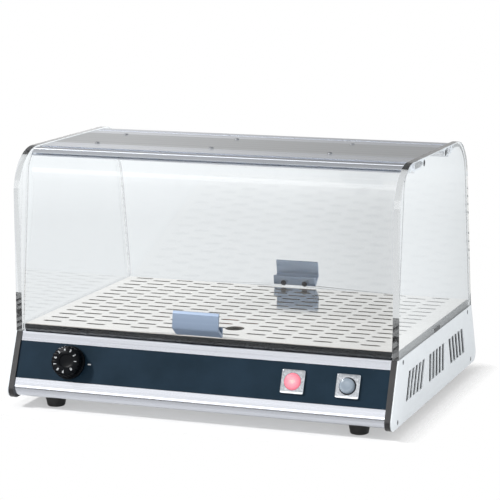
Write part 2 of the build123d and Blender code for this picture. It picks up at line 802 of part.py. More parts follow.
with BuildPart() as earth_stud:
    with Locations((stud_x, block_y, pan_surface)):
        Cylinder(stud_radius, stud_height, align=(Align.CENTER, Align.CENTER, Align.MIN))
    with BuildSketch(Plane.XY.offset(pan_surface)):
        with Locations((stud_x, block_y)):
            RegularPolygon(stud_nut_half_width, 6, major_radius=False)
    extrude(amount=stud_nut_height)
earth_stud.part.label = "earth_stud"
export_step(earth_stud.part, "parts/earth_stud.step")

# Tray: polished sheet with staggered slots, one finger hole and two lips beneath

tray_rows = 14
tray_columns = 8
lip_depth = 5.0
lip_y = 151.0
hole_x, hole_y = 19.5, -108.0

with BuildPart() as tray:
    with BuildSketch(Plane.XY.offset(deck_top)):
        Rectangle(tray_width, 2 * tray_half_depth)
        slots_skipped = []
        for row in range(tray_rows):
            for column in range(tray_columns):
                x = tray_column_centre + (column - (tray_columns - 1) / 2) * slot_pitch_x
                y = tray_row_centre + (row - (tray_rows - 1) / 2) * slot_pitch_y
                near_hole = abs(x - hole_x) < 20.0 and abs(y - hole_y) < 18.0
                if near_hole:
                    slots_skipped.append((x, y))
        with Locations((tray_column_centre, tray_row_centre)):
            with GridLocations(slot_pitch_x, slot_pitch_y, tray_columns, tray_rows):
                Rectangle(slot_length, slot_width, mode=Mode.SUBTRACT)
            with GridLocations(slot_pitch_x, slot_pitch_y, tray_columns - 1, tray_rows - 1):
                Rectangle(slot_length, slot_width, mode=Mode.SUBTRACT)
        with Locations(*slots_skipped):
            Rectangle(slot_length + 1, slot_width + 1)
        with Locations((hole_x, hole_y)):
            Circle(finger_hole_diameter / 2, mode=Mode.SUBTRACT)
    extrude(amount=tray_thickness)
    with BuildSketch(Plane.XY.offset(deck_top)):
        with Locations((0, -lip_y), (0, lip_y)):
            Rectangle(tray_width - 60.0, tray_thickness)
    extrude(amount=-lip_depth)
tray.part.label = "tray"
export_step(tray.part, "parts/tray.step")

# Side glass: upright front edge, leaning rear edge, and a tongue in the end frame

key_half_length = 15.0
key_height = 5.5
rail_screw_height = 316.2
rail_screw_inset = 2.0
rail_screw_places = [(plate_front_edge + rail_screw_inset, rail_screw_height),
                     (plate_rear_edge - rail_screw_inset, rail_screw_height)]

for side, side_name in ((-1, "left"), (1, "right")):
    with BuildPart() as side_glass:
        rear_base = seat_half_depth - 1.0
        rear_top = rear_base - (glass_top - seat_height) * tan(radians(rear_edge_lean))
        with BuildSketch(Plane.YZ.offset(side * glass_inner_x)) as outline:
            with BuildLine():
                Polyline((-seat_half_depth, seat_height), (-seat_half_depth, glass_top),
                         (rear_top, glass_top), (rear_base, seat_height), close=True)
            make_face()
            fillet(outline.vertices().group_by(Axis.Y)[-1], side_glass_corner)
            with Locations((0, seat_height)):
                Rectangle(2 * key_half_length, key_height, align=(Align.CENTER, Align.MIN),
                          mode=Mode.SUBTRACT)
        extrude(amount=side * side_glass_thickness)
        with BuildSketch(Plane.XY.offset(seat_height)):
            for end in (-1, 1):
                middle = end * (tongue_half_length + key_half_length) / 2
                with Locations((side * tongue_x, middle)):
                    Rectangle(tongue_thickness, tongue_half_length - key_half_length)
        extrude(amount=-tongue_depth)
        with Locations(*[Plane(origin=(side * half_width, y, z), x_dir=(0, 1, 0), z_dir=(side, 0, 0))
                         for y, z in rail_screw_places]):
            CounterSinkHole(radius=screw_shank_radius + 0.4, counter_sink_radius=4.1,
                            depth=side_glass_thickness)
    side_glass.part.label = f"side_glass_{side_name}"
    export_step(side_glass.part, f"parts/side_glass_{side_name}.step")

    with BuildPart() as glass_key:
        with BuildSketch(Plane.YZ.offset(side * glass_inner_x)):
            with Locations((0, seat_height)):
                Rectangle(2 * key_half_length - 0.4, key_height - 0.3,
                          align=(Align.CENTER, Align.MIN))
        extrude(amount=side * side_glass_thickness)
    glass_key.part.label = f"glass_key_{side_name}"
    export_step(glass_key.part, f"parts/glass_key_{side_name}.step")

# Top plate on two hinge rails, which run from one side glass to the other

plate_screw_x = [-183.0, -27.0, 129.0]
plate_screw_inset = 6.5
plate_screw_radius = 1.5
plate_screw_length = 6.0
plate_screw_head_height = 1.4

with BuildPart() as top_plate:
    with BuildSketch(Plane.XY.offset(plate_top)):
        with Locations((0, (plate_front_edge + plate_rear_edge) / 2)):
            Rectangle(rail_length, plate_rear_edge - plate_front_edge)
        for x in plate_screw_x:
            for y in (plate_front_edge + plate_screw_inset, plate_rear_edge - plate_screw_inset):
                with Locations((x, y)):
                    RegularPolygon(plate_screw_radius + 0.2, fastener_sides, mode=Mode.SUBTRACT)
    extrude(amount=-plate_thickness)
top_plate.part.label = "top_plate"
export_step(top_plate.part, "parts/top_plate.step")

with BuildPart() as top_plate_screws:
    for x in plate_screw_x:
        for y in (plate_front_edge + plate_screw_inset, plate_rear_edge - plate_screw_inset):
            with BuildSketch(Plane.XY.offset(plate_top)):
                with Locations((x, y)):
                    RegularPolygon(2 * plate_screw_radius, fastener_sides)
            extrude(amount=plate_screw_head_height, taper=25)
            with BuildSketch(Plane.XY.offset(plate_top)):
                with Locations((x, y)):
                    RegularPolygon(plate_screw_radius, fastener_sides)
            extrude(amount=-plate_screw_length)
top_plate_screws.part.label = "top_plate_screws"
export_step(top_plate_screws.part, "parts/top_plate_screws.step")

rail_wall = 2.0
rail_box_bottom = 310.5
rail_box_gap = 13.0
rail_lip_gap = 7.0
rail_ledge_width = 18.0
neck_angle = -25.0
neck_half_thickness = 1.3


def rail_section(edge_y, bead_y):
    """Fixed hinge rail: ledge under the plate, hollow box, and a bead on a neck."""
    ledge_top = plate_top - plate_thickness
    lip_y = bead_y + rail_lip_gap
    box_front = bead_y + rail_box_gap
    box_back = edge_y - 4.0
    neck_end = box_front + rail_wall / 2
    neck_z = bead_height + (neck_end - bead_y) * tan(radians(neck_angle))
    with BuildSketch() as section:
        with Locations(((box_front + box_back) / 2, (plate_top + rail_box_bottom) / 2)):
            Rectangle(box_back - box_front, plate_top - rail_box_bottom)
            Rectangle(box_back - box_front - 2 * rail_wall, plate_top - rail_box_bottom - 2 * rail_wall,
                      mode=Mode.SUBTRACT)
        with Locations((lip_y, plate_top)):
            Rectangle(edge_y - lip_y, rail_wall, align=(Align.MIN, Align.MAX))
        with Locations((box_back - rail_wall, ledge_top)):
            Rectangle(rail_ledge_width + edge_y - box_back, rail_wall, align=(Align.MIN, Align.MAX))
        with Locations((edge_y + rail_screw_inset, rail_screw_height)):
            Circle(screw_port_radius)
            Circle(screw_hole_radius, mode=Mode.SUBTRACT)
        add(polygon([(bead_y, bead_height + neck_half_thickness),
                     (bead_y, bead_height - neck_half_thickness),
                     (neck_end, neck_z - neck_half_thickness),
                     (neck_end, neck_z + neck_half_thickness)]))
        with Locations((bead_y, bead_height)):
            Circle(bead_radius)
    return section.sketch_local


def socket_section(bead_y):
    """Socket of the moving leaf: most of a ring round the bead, open towards the rail."""
    mouth = [(bead_y, bead_height)]
    for angle in (95, 50, 0, -40, -75):
        reach = 9.0
        mouth.append((bead_y + reach * cos(radians(angle)), bead_height + reach * sin(radians(angle))))
    with BuildSketch() as section:
        with Locations((bead_y, bead_height)):
            Circle(bead_radius + hinge_play + 1.8)
        add(polygon(mouth), mode=Mode.SUBTRACT)
    return section.sketch_local


with BuildPart() as front_hinge_rail:
    with BuildSketch(Plane.YZ):
        add(rail_section(plate_front_edge, front_bead_y))
    extrude(amount=rail_length / 2, both=True)
    with BuildSketch(Plane.XY.offset(plate_top)):
        with Locations(*[(x, plate_front_edge + plate_screw_inset) for x in plate_screw_x]):
            RegularPolygon(plate_screw_radius, fastener_sides)
    extrude(amount=-plate_screw_length, mode=Mode.SUBTRACT)
front_hinge_rail.part.label = "front_hinge_rail"
export_step(front_hinge_rail.part, "parts/front_hinge_rail.step")

with BuildPart() as rear_hinge_rail:
    with BuildSketch(Plane.YZ):
        add(rail_section(-plate_rear_edge, -rear_bead_y))
    extrude(amount=rail_length / 2, both=True)
    with BuildSketch(Plane.XY.offset(plate_top)):
        with Locations(*[(x, -plate_rear_edge + plate_screw_inset) for x in plate_screw_x]):
            RegularPolygon(plate_screw_radius, fastener_sides)
    extrude(amount=-plate_screw_length, mode=Mode.SUBTRACT)
    mirror(about=Plane.XZ, mode=Mode.REPLACE)
rear_hinge_rail.part.label = "rear_hinge_rail"
export_step(rear_hinge_rail.part, "parts/rear_hinge_rail.step")

rail_screw_head = 4.0
rail_screw_head_height = 2.2

with BuildPart() as rail_screws:
    for side in (-1, 1):
        for y, z in rail_screw_places:
            plane = Plane(origin=(side * half_width, y, z), x_dir=(0, 1, 0), z_dir=(side, 0, 0))
            with BuildSketch(plane):
                RegularPolygon(rail_screw_head, fastener_sides)
            extrude(amount=-rail_screw_head_height, taper=45)
            with BuildSketch(plane):
                RegularPolygon(screw_shank_radius, fastener_sides)
            extrude(amount=-cover_screw_length)
rail_screws.part.label = "rail_screws"
export_step(rail_screws.part, "parts/rail_screws.step")

# Front flap: bent clear sheet, held by the lips of the hinge leaf

grip_play = 0.15


def flap_foot(lean, foot_y):
    """Outer bottom corner of a flap, whose inner bottom corner is the lowest point."""
    return (foot_y, flap_bottom + flap_thickness * sin(radians(lean)))


def flap_bend_centre(lean, bend_radius, foot_y):
    """Centre of the bend that joins the leaning sheet to the level top."""
    tilt = radians(lean)
    y, z = flap_foot(lean, foot_y)
    centre_z = flap_top - bend_radius
    start_z = centre_z + bend_radius * sin(tilt)
    return (y + (start_z - z) * tan(tilt) + bend_radius * cos(tilt), centre_z)


def flap_section(lean, bend_radius, foot_y, end_angle, run):
    """Section of a flap's clear sheet, bent at the top, with a level run after the bend."""
    tilt = radians(lean)
    centre = flap_bend_centre(lean, bend_radius, foot_y)
    y, z = flap_foot(lean, foot_y)
    foot_inner = (y + flap_thickness * cos(tilt), z - flap_thickness * sin(tilt))
    sweep_angle = 180.0 - lean - end_angle
    with BuildSketch() as section:
        with BuildLine():
            outer = CenterArc(centre, bend_radius, end_angle, sweep_angle)
            inner = CenterArc(centre, bend_radius - flap_thickness, end_angle, sweep_angle)
            Polyline(outer @ 1, (y, z), foot_inner, inner @ 1)
            if run > 0:
                Polyline(outer @ 0, (centre[0] + run, flap_top),
                         (centre[0] + run, flap_top - flap_thickness), inner @ 0)
            else:
                Line(outer @ 0, inner @ 0)
        make_face()
    return section.sketch_local


front_foot_y = -seat_half_depth
rear_foot_y = -(seat_half_depth - 1.0)
front_bend_centre = flap_bend_centre(front_flap_lean, front_flap_bend, front_foot_y)
rear_bend_centre = flap_bend_centre(rear_flap_lean, rear_flap_bend, rear_foot_y)
front_sheet_angle = 101.5
rear_sheet_end = -rear_bead_y - 7.5
handle_screw_gap = 30.0
handle_screw_rise = 14.0
handle_screw_radius = 1.9
handle_screw_length = flap_thickness + 5.0
handle_screw_head = 3.9
handle_screw_head_height = 1.9
front_handle_x = -2.5
rear_handle_x = 3.0


def flap_plane(lean, foot_y, x):
    """Plane across the flap's outer bottom edge: its X axis points in, its Y axis up."""
    tilt = radians(lean)
    y, z = flap_foot(lean, foot_y)
    return Plane(origin=(x, y, z), x_dir=(0, cos(tilt), -sin(tilt)), z_dir=(1, 0, 0))


def inner_face_plane(lean, foot_y, x, rise):
    """Plane on the flap's inner face at the given rise, facing into the case."""
    tilt = radians(lean)
    foot = flap_foot(lean, foot_y)
    y = foot[0] + flap_thickness * cos(tilt) + rise * sin(tilt)
    z = foot[1] - flap_thickness * sin(tilt) + rise * cos(tilt)
    return Plane(origin=(x, y, z), x_dir=(1, 0, 0), z_dir=(0, cos(tilt), -sin(tilt)))


with BuildPart() as front_flap_glass:
    with BuildSketch(Plane.YZ):
        add(flap_section(front_flap_lean, front_flap_bend, front_foot_y, front_sheet_angle, 0.0))
    extrude(amount=flap_length / 2, both=True)
    for x in (front_handle_x - handle_screw_gap / 2, front_handle_x + handle_screw_gap / 2):
        with Locations(inner_face_plane(front_flap_lean, front_foot_y, x, handle_screw_rise)):
            CounterSinkHole(radius=handle_screw_radius + 0.1, counter_sink_radius=4.0,
                            depth=flap_thickness)
front_flap_glass.part.label = "front_flap_glass"
export_step(front_flap_glass.part, "parts/front_flap_glass.step")

with BuildPart() as rear_flap_glass:
    with BuildSketch(Plane.YZ):
        add(flap_section(rear_flap_lean, rear_flap_bend, rear_foot_y, 90.0,
                         rear_sheet_end - rear_bend_centre[0]))
    extrude(amount=flap_length / 2, both=True)
    for x in (rear_handle_x - handle_screw_gap / 2, rear_handle_x + handle_screw_gap / 2):
        with Locations(inner_face_plane(rear_flap_lean, rear_foot_y, x, handle_screw_rise)):
            CounterSinkHole(radius=handle_screw_radius + 0.1, counter_sink_radius=4.0,
                            depth=flap_thickness)
    mirror(about=Plane.XZ, mode=Mode.REPLACE)
rear_flap_glass.part.label = "rear_flap_glass"
export_step(rear_flap_glass.part, "parts/rear_flap_glass.step")

lip_wall = 1.5

with BuildPart() as front_hinge_leaf:
    with BuildSketch(Plane.YZ):
        add(socket_section(front_bead_y))
        add(arc_band(front_bend_centre, front_flap_bend - flap_thickness - grip_play - lip_wall,
                     front_flap_bend + grip_play + lip_wall, 92.0, 30.0))
        with Locations((front_bend_centre[0] - 31.4 * sin(radians(17.0)),
                        front_bend_centre[1] + 31.4 * cos(radians(17.0)))):
            Circle(1.0)
        add(arc_band(front_bend_centre, front_flap_bend - flap_thickness - grip_play,
                     front_flap_bend + grip_play, front_sheet_angle - 0.4, 24.0), mode=Mode.SUBTRACT)
        with Locations((front_bead_y, bead_height)):
            Circle(bead_radius + hinge_play, mode=Mode.SUBTRACT)
    extrude(amount=flap_length / 2, both=True)
front_hinge_leaf.part.label = "front_hinge_leaf"
export_step(front_hinge_leaf.part, "parts/front_hinge_leaf.step")

with BuildPart() as rear_hinge_leaf:
    with BuildSketch(Plane.YZ):
        add(socket_section(-rear_bead_y))
        lips_centre = flap_top - flap_thickness / 2
        lips_height = flap_thickness + 2 * grip_play + 2 * lip_wall
        with Locations((-rear_bead_y - 2.0, lips_centre)):
            Rectangle(17.0, lips_height, align=(Align.MAX, Align.CENTER))
        with Locations((rear_sheet_end + 0.1, lips_centre)):
            Rectangle(20.0, flap_thickness + 2 * grip_play, align=(Align.MAX, Align.CENTER),
                      mode=Mode.SUBTRACT)
        with Locations((-rear_bead_y, bead_height)):
            Circle(bead_radius + hinge_play, mode=Mode.SUBTRACT)
    extrude(amount=flap_length / 2, both=True)
    mirror(about=Plane.XZ, mode=Mode.REPLACE)
rear_hinge_leaf.part.label = "rear_hinge_leaf"
export_step(rear_hinge_leaf.part, "parts/rear_hinge_leaf.step")

# Handles: an extruded section with a jaw on the sheet and a grip that stands off it

handle_length = 60.0
handle_outline = [(0, 2.0), (0, 23.0), (-3.0, 23.0), (-3.0, 15.5), (-14.0, 21.5), (-14.0, 41.0),
                  (-17.0, 41.0), (-17.0, 19.0), (-3.0, 11.0), (-3.0, 2.0)]


def handle_section():
    """Section of a handle, with its bends and free edges rounded."""
    with BuildSketch() as section:
        with BuildLine():
            Polyline(*handle_outline, close=True)
        make_face()
        tips = section.vertices().group_by(Axis.Y)[-1]
        fillet(tips, 1.4)
        outer_bend = section.vertices().filter_by_position(Axis.Y, 18.9, 19.1)
        fillet(outer_bend, 4.0)
        inner_bend = section.vertices().filter_by_position(Axis.Y, 21.4, 21.6)
        fillet(inner_bend, 1.5)
    return section.sketch_local


def make_handle(lean, foot_y, x):
    """Handle on the outer face of a flap, as it sits at the front of the case."""
    with BuildPart() as handle:
        with BuildSketch(flap_plane(lean, foot_y, x)):
            add(handle_section())
        extrude(amount=handle_length / 2, both=True)
        for screw_x in (x - handle_screw_gap / 2, x + handle_screw_gap / 2):
            with Locations(inner_face_plane(lean, foot_y, screw_x, handle_screw_rise)):
                Hole(handle_screw_radius, depth=handle_screw_length)
    return handle.part


def make_handle_screws(lean, foot_y, x):
    """Two countersunk screws that go through the flap from inside into the handle."""
    with BuildPart() as screws:
        for screw_x in (x - handle_screw_gap / 2, x + handle_screw_gap / 2):
            plane = inner_face_plane(lean, foot_y, screw_x, handle_screw_rise)
            with BuildSketch(plane):
                RegularPolygon(handle_screw_head, fastener_sides)
            extrude(amount=-handle_screw_head_height, taper=45)
            with BuildSketch(plane):
                RegularPolygon(handle_screw_radius, fastener_sides)
            extrude(amount=-handle_screw_length)
    return screws.part


with BuildPart() as front_handle:
    add(make_handle(front_flap_lean, front_foot_y, front_handle_x))
front_handle.part.label = "front_handle"
export_step(front_handle.part, "parts/front_handle.step")

with BuildPart() as front_handle_screws:
    add(make_handle_screws(front_flap_lean, front_foot_y, front_handle_x))
front_handle_screws.part.label = "front_handle_screws"
export_step(front_handle_screws.part, "parts/front_handle_screws.step")

with BuildPart() as rear_handle:
    add(make_handle(rear_flap_lean, rear_foot_y, rear_handle_x))
    mirror(about=Plane.XZ, mode=Mode.REPLACE)
rear_handle.part.label = "rear_handle"
export_step(rear_handle.part, "parts/rear_handle.step")

with BuildPart() as rear_handle_screws:
    add(make_handle_screws(rear_flap_lean, rear_foot_y, rear_handle_x))
    mirror(about=Plane.XZ, mode=Mode.REPLACE)
rear_handle_screws.part.label = "rear_handle_screws"
export_step(rear_handle_screws.part, "parts/rear_handle_screws.step")
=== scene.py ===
from math import atan2, cos, pi, radians, sin, tan

import bmesh
import bpy
from mathutils import Euler, Matrix, Vector
from mathutils.geometry import tessellate_polygon


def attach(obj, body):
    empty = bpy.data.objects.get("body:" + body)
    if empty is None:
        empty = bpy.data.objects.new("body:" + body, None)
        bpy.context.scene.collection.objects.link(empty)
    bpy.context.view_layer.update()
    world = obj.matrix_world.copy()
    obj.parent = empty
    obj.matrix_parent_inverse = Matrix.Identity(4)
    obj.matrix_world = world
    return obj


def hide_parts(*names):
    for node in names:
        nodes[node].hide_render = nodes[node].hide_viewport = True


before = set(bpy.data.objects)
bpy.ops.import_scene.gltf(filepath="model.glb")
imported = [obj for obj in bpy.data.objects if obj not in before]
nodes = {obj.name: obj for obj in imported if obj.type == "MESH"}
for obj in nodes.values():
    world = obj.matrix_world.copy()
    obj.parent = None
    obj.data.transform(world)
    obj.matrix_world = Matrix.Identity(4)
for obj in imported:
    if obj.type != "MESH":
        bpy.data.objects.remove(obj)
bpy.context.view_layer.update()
scene = bpy.context.scene

# Heated display case. The meshes are worked out in millimetres and placed in metres,
# with +Z up, +Y to the rear and the origin on the counter under the centre of the base.

MM = 0.001

# Driving dimensions, the same as in the CAD
half_width = 250.0
seat_height = 94.0
seat_half_depth = 174.0
foot_height = 15.5
base_slope = 22.5
glass_top = 323.0
side_glass_thickness = 8.0
side_glass_corner = 55.0
rear_edge_lean = 9.4
flap_thickness = 4.0
flap_bottom = 94.4
flap_top = 320.0
control_line = 35.4
panel_face = -0.1
knob_x = -170.0
lamp_x = 123.0
switch_x = 192.0

# Driving dimensions of each flap: lean, bend radius, foot, end of the bend and middle of the handle.
# Only the rear flap's sheet has a level run after its bend.
front_flap = {"lean": 6.4, "bend": 30.0, "foot_y": -174.0, "arc_end": 101.5, "handle_x": -2.5}
rear_flap = {"lean": 9.6, "bend": 50.0, "foot_y": -173.0, "arc_end": 90.0, "handle_x": 3.0}
rear_sheet_end = -71.5
handle_screw_gap = 30.0
handle_screw_rise = 14.0

# Camera, found from the photograph's straight edges
camera_yaw = 20.12
camera_pitch = 10.14
camera_roll = -0.1
camera_distance = 2.6749
camera_target = Vector((-0.0003, 0.0, 0.1826))
photo_width_pixels = 500.0
focal_pixels = 2074.2
camera_focal = focal_pixels / photo_width_pixels


def add_camera():
    """Camera at the photograph's viewing angle; the focal length is in image widths."""
    data = bpy.data.cameras.new("camera")
    data.lens = camera_focal * data.sensor_width
    camera = bpy.data.objects.new("camera", data)
    scene.collection.objects.link(camera)
    turn = Euler((radians(90.0 - camera_pitch), 0.0, radians(camera_yaw))).to_matrix()
    turn = turn @ Matrix.Rotation(radians(camera_roll), 3, "Z")
    camera.matrix_world = Matrix.Translation(camera_target + turn.col[2] * camera_distance) @ turn.to_4x4()
    scene.camera = camera


add_camera()


# Shader helpers

def colour(red, green, blue):
    """Linear colour from plain screen values between 0 and 255."""
    linear = []
    for value in (red, green, blue):
        share = value / 255.0
        linear.append(share / 12.92 if share < 0.04045 else ((share + 0.055) / 1.055) ** 2.4)
    return (*linear, 1.0)


def math_node(tree, operation, first, second=None):
    """Math node on sockets or numbers."""
    node = tree.nodes.new("ShaderNodeMath")
    node.operation = operation
    for index, value in enumerate((first, second)):
        if isinstance(value, bpy.types.NodeSocket):
            tree.links.new(value, node.inputs[index])
        elif value is not None:
            node.inputs[index].default_value = value
    return node.outputs[0]


class Look:
    """Material on one Principled shader, with helpers for grain, tint, polish and relief."""

    def __init__(self, name, base, roughness, metallic=0.0, **sockets):
        self.material = bpy.data.materials.new(name)
        self.material.use_nodes = True
        self.tree = self.material.node_tree
        self.shader = self.tree.nodes["Principled BSDF"]
        self.shader.inputs["Base Color"].default_value = base
        self.shader.inputs["Roughness"].default_value = roughness
        self.shader.inputs["Metallic"].default_value = metallic
        for socket, value in sockets.items():
            self.shader.inputs[socket.replace("_", " ")].default_value = value
        self.place = self.tree.nodes.new("ShaderNodeTexCoord").outputs["Object"]

    def add(self, kind, **values):
        """New node, with its inputs set by name or linked when a socket is given."""
        node = self.tree.nodes.new("ShaderNode" + kind)
        for socket, value in values.items():
            target = node.inputs[socket.replace("_", " ")]
            if isinstance(value, bpy.types.NodeSocket):
                self.tree.links.new(value, target)
            else:
                target.default_value = value
        return node

    def stretched(self, scale):
        """Object coordinates, scaled along each axis, in repeats per metre."""
        return self.add("Mapping", Vector=self.place, Scale=scale).outputs["Vector"]

    def grain(self, scale, detail=3.0, roughness=0.55):
        """Noise that repeats about scale times a metre along each axis."""
        return self.add("TexNoise", Vector=self.stretched(scale), Scale=1.0, Detail=detail,
                        Roughness=roughness).outputs["Fac"]

    def spread(self, source, low, high, start=0.3, end=0.7):
        """Maps a factor between start and end to a value between low and high."""
        node = self.tree.nodes.new("ShaderNodeMapRange")
        self.tree.links.new(source, node.inputs["Value"])
        for socket, value in (("From Min", start), ("From Max", end), ("To Min", low), ("To Max", high)):
            node.inputs[socket].default_value = value
        return node.outputs["Result"]

    def tint(self, source, dark, light, start=0.3, end=0.7):
        """Colour between dark and light along a factor."""
        ramp = self.add("ValToRGB", Fac=source)
        ramp.color_ramp.elements[0].position = start
        ramp.color_ramp.elements[0].color = dark
        ramp.color_ramp.elements[1].position = end
        ramp.color_ramp.elements[1].color = light
        self.tree.links.new(ramp.outputs["Color"], self.shader.inputs["Base Color"])
        return ramp

    def polish(self, source, low, high):
        """Roughness between low and high along a factor."""
        self.tree.links.new(self.spread(source, low, high), self.shader.inputs["Roughness"])

    def relief(self, source, depth, strength=1.0):
        """Bump of a depth in millimetres."""
        bump = self.add("Bump", Height=source, Distance=depth * MM, Strength=strength)
        self.tree.links.new(bump.outputs["Normal"], self.shader.inputs["Normal"])


def brushed(name, dark, light, low, high, lines, depth, metallic=1.0):
    """Metal with fine lines along the axis whose repeat in lines is small."""
    look = Look(name, light, (low + high) / 2, metallic)
    fine = look.grain(lines, 4.0, 0.65)
    broad = look.grain(tuple(value / 9.0 for value in lines), 2.0)
    look.tint(broad, dark, light, 0.25, 0.75)
    look.polish(fine, low, high)
    look.relief(fine, depth, 0.5)
    return look.material


def moulded(name, dark, light, low, high, grain_scale, depth, **sockets):
    """Plastic, rubber or paint: mottled colour, uneven gloss and a fine skin."""
    look = Look(name, light, (low + high) / 2, 0.0, **sockets)
    cloud = look.grain((30.0, 30.0, 30.0), 4.0)
    skin = look.grain((grain_scale,) * 3, 2.0)
    look.tint(cloud, dark, light)
    look.polish(cloud, low, high)
    look.relief(skin, depth, 0.6)
    return look.material


def spangled(name, dark, light, low, high):
    """Galvanised sheet: irregular crystals, each with its own shade and gloss."""
    look = Look(name, light, high, 1.0)
    cells = look.add("TexVoronoi", Vector=look.place, Scale=160.0)
    shade = look.add("SeparateColor", Color=cells.outputs["Color"]).outputs["Red"]
    look.tint(shade, dark, light, 0.0, 1.0)
    look.polish(shade, low, high)
    look.relief(look.grain((900.0, 900.0, 900.0)), 0.02, 0.4)
    return look.material


def plated(name, dark, light, low, high):
    """Small turned or plated metal part with fine, even wear."""
    look = Look(name, light, low, 1.0)
    wear = look.grain((420.0, 420.0, 420.0), 4.0)
    look.tint(wear, dark, light)
    look.polish(wear, low, high)
    look.relief(look.grain((1800.0, 1800.0, 1800.0)), 0.01, 0.4)
    return look.material


def clear_sheet(name, tone, ior):
    """Clear acrylic or glass; lamps, diffuse light and blurred reflections pass straight through it."""
    look = Look(name, tone, 0.0, 0.0, Transmission_Weight=1.0, IOR=ior)
    ripple = look.grain((14.0, 14.0, 14.0), 1.0)
    look.relief(ripple, 0.012, 0.25)
    smear = look.grain((55.0, 55.0, 22.0), 4.0, 0.7)
    smear_share = 0.985
    smeared_tone = (*[share * smear_share for share in tone[:3]], 1.0)
    look.tint(smear, tone, smeared_tone, 0.5, 0.8)
    path = look.add("LightPath").outputs
    blurred = math_node(look.tree, "SUBTRACT", path["Is Glossy Ray"], path["Is Singular Ray"])
    passing = math_node(look.tree, "MAXIMUM", path["Is Shadow Ray"], path["Is Diffuse Ray"])
    passing = math_node(look.tree, "MAXIMUM", passing, blurred)
    film = look.add("BsdfTransparent", Color=(0.98, 0.985, 0.985, 1.0))
    mix = look.add("MixShader", Fac=passing)
    look.tree.links.new(look.shader.outputs[0], mix.inputs[1])
    look.tree.links.new(film.outputs[0], mix.inputs[2])
    output = look.tree.nodes["Material Output"]
    look.tree.links.new(mix.outputs[0], output.inputs["Surface"])
    return look.material


# Finish of each slot

# Grain of the brushed metals, in repeats per metre: its lines run along X
along_x = (3.0, 900.0, 900.0)


def lit_lens():
    """Red lens with light behind it: pale and warm in the middle, pink towards the rim."""
    glow_out = 2.0
    glow_reach = 11.0 * MM
    glow_waver = 1.2 * MM
    ring_pitch = 1.6 * MM
    look = Look("lit_red_lens", colour(226, 74, 78), 0.3, 0.0, Specular_IOR_Level=0.3)
    offset = look.add("Mapping", Vector=look.place, Location=-control_point(lamp_x, glow_out))
    length = look.add("VectorMath", Vector=offset.outputs["Vector"])
    length.operation = "LENGTH"
    distance = length.outputs["Value"]
    mottle = look.grain((500.0, 500.0, 500.0), 2.0)
    waver = look.spread(mottle, -glow_waver, glow_waver)
    share = look.spread(math_node(look.tree, "ADD", distance, waver), 0.0, 1.0, 0.0, glow_reach)
    ramp = look.tint(share, colour(240, 188, 176), colour(204, 106, 122), 0.1, 0.95)
    middle = ramp.color_ramp.elements.new(0.4)
    middle.color = colour(224, 136, 148)
    look.tree.links.new(ramp.outputs["Color"], look.shader.inputs["Emission Color"])
    look.shader.inputs["Emission Strength"].default_value = 0.45
    phase = math_node(look.tree, "MULTIPLY", distance, 2.0 * pi / ring_pitch)
    look.relief(math_node(look.tree, "SINE", phase), 0.05, 0.6)
    return look.material


def base_point(down, out):
    """Point (y, z) of the front slope: down from the seat edge, and out from the slope."""
    lean = radians(base_slope)
    return (-seat_half_depth - down * sin(lean) - out * cos(lean),
            seat_height - down * cos(lean) + out * sin(lean))


def control_point(x, out):
    """Point on the controls' line of the sloped front, in metres."""
    return Vector((x, *base_point(control_line, out))) * MM


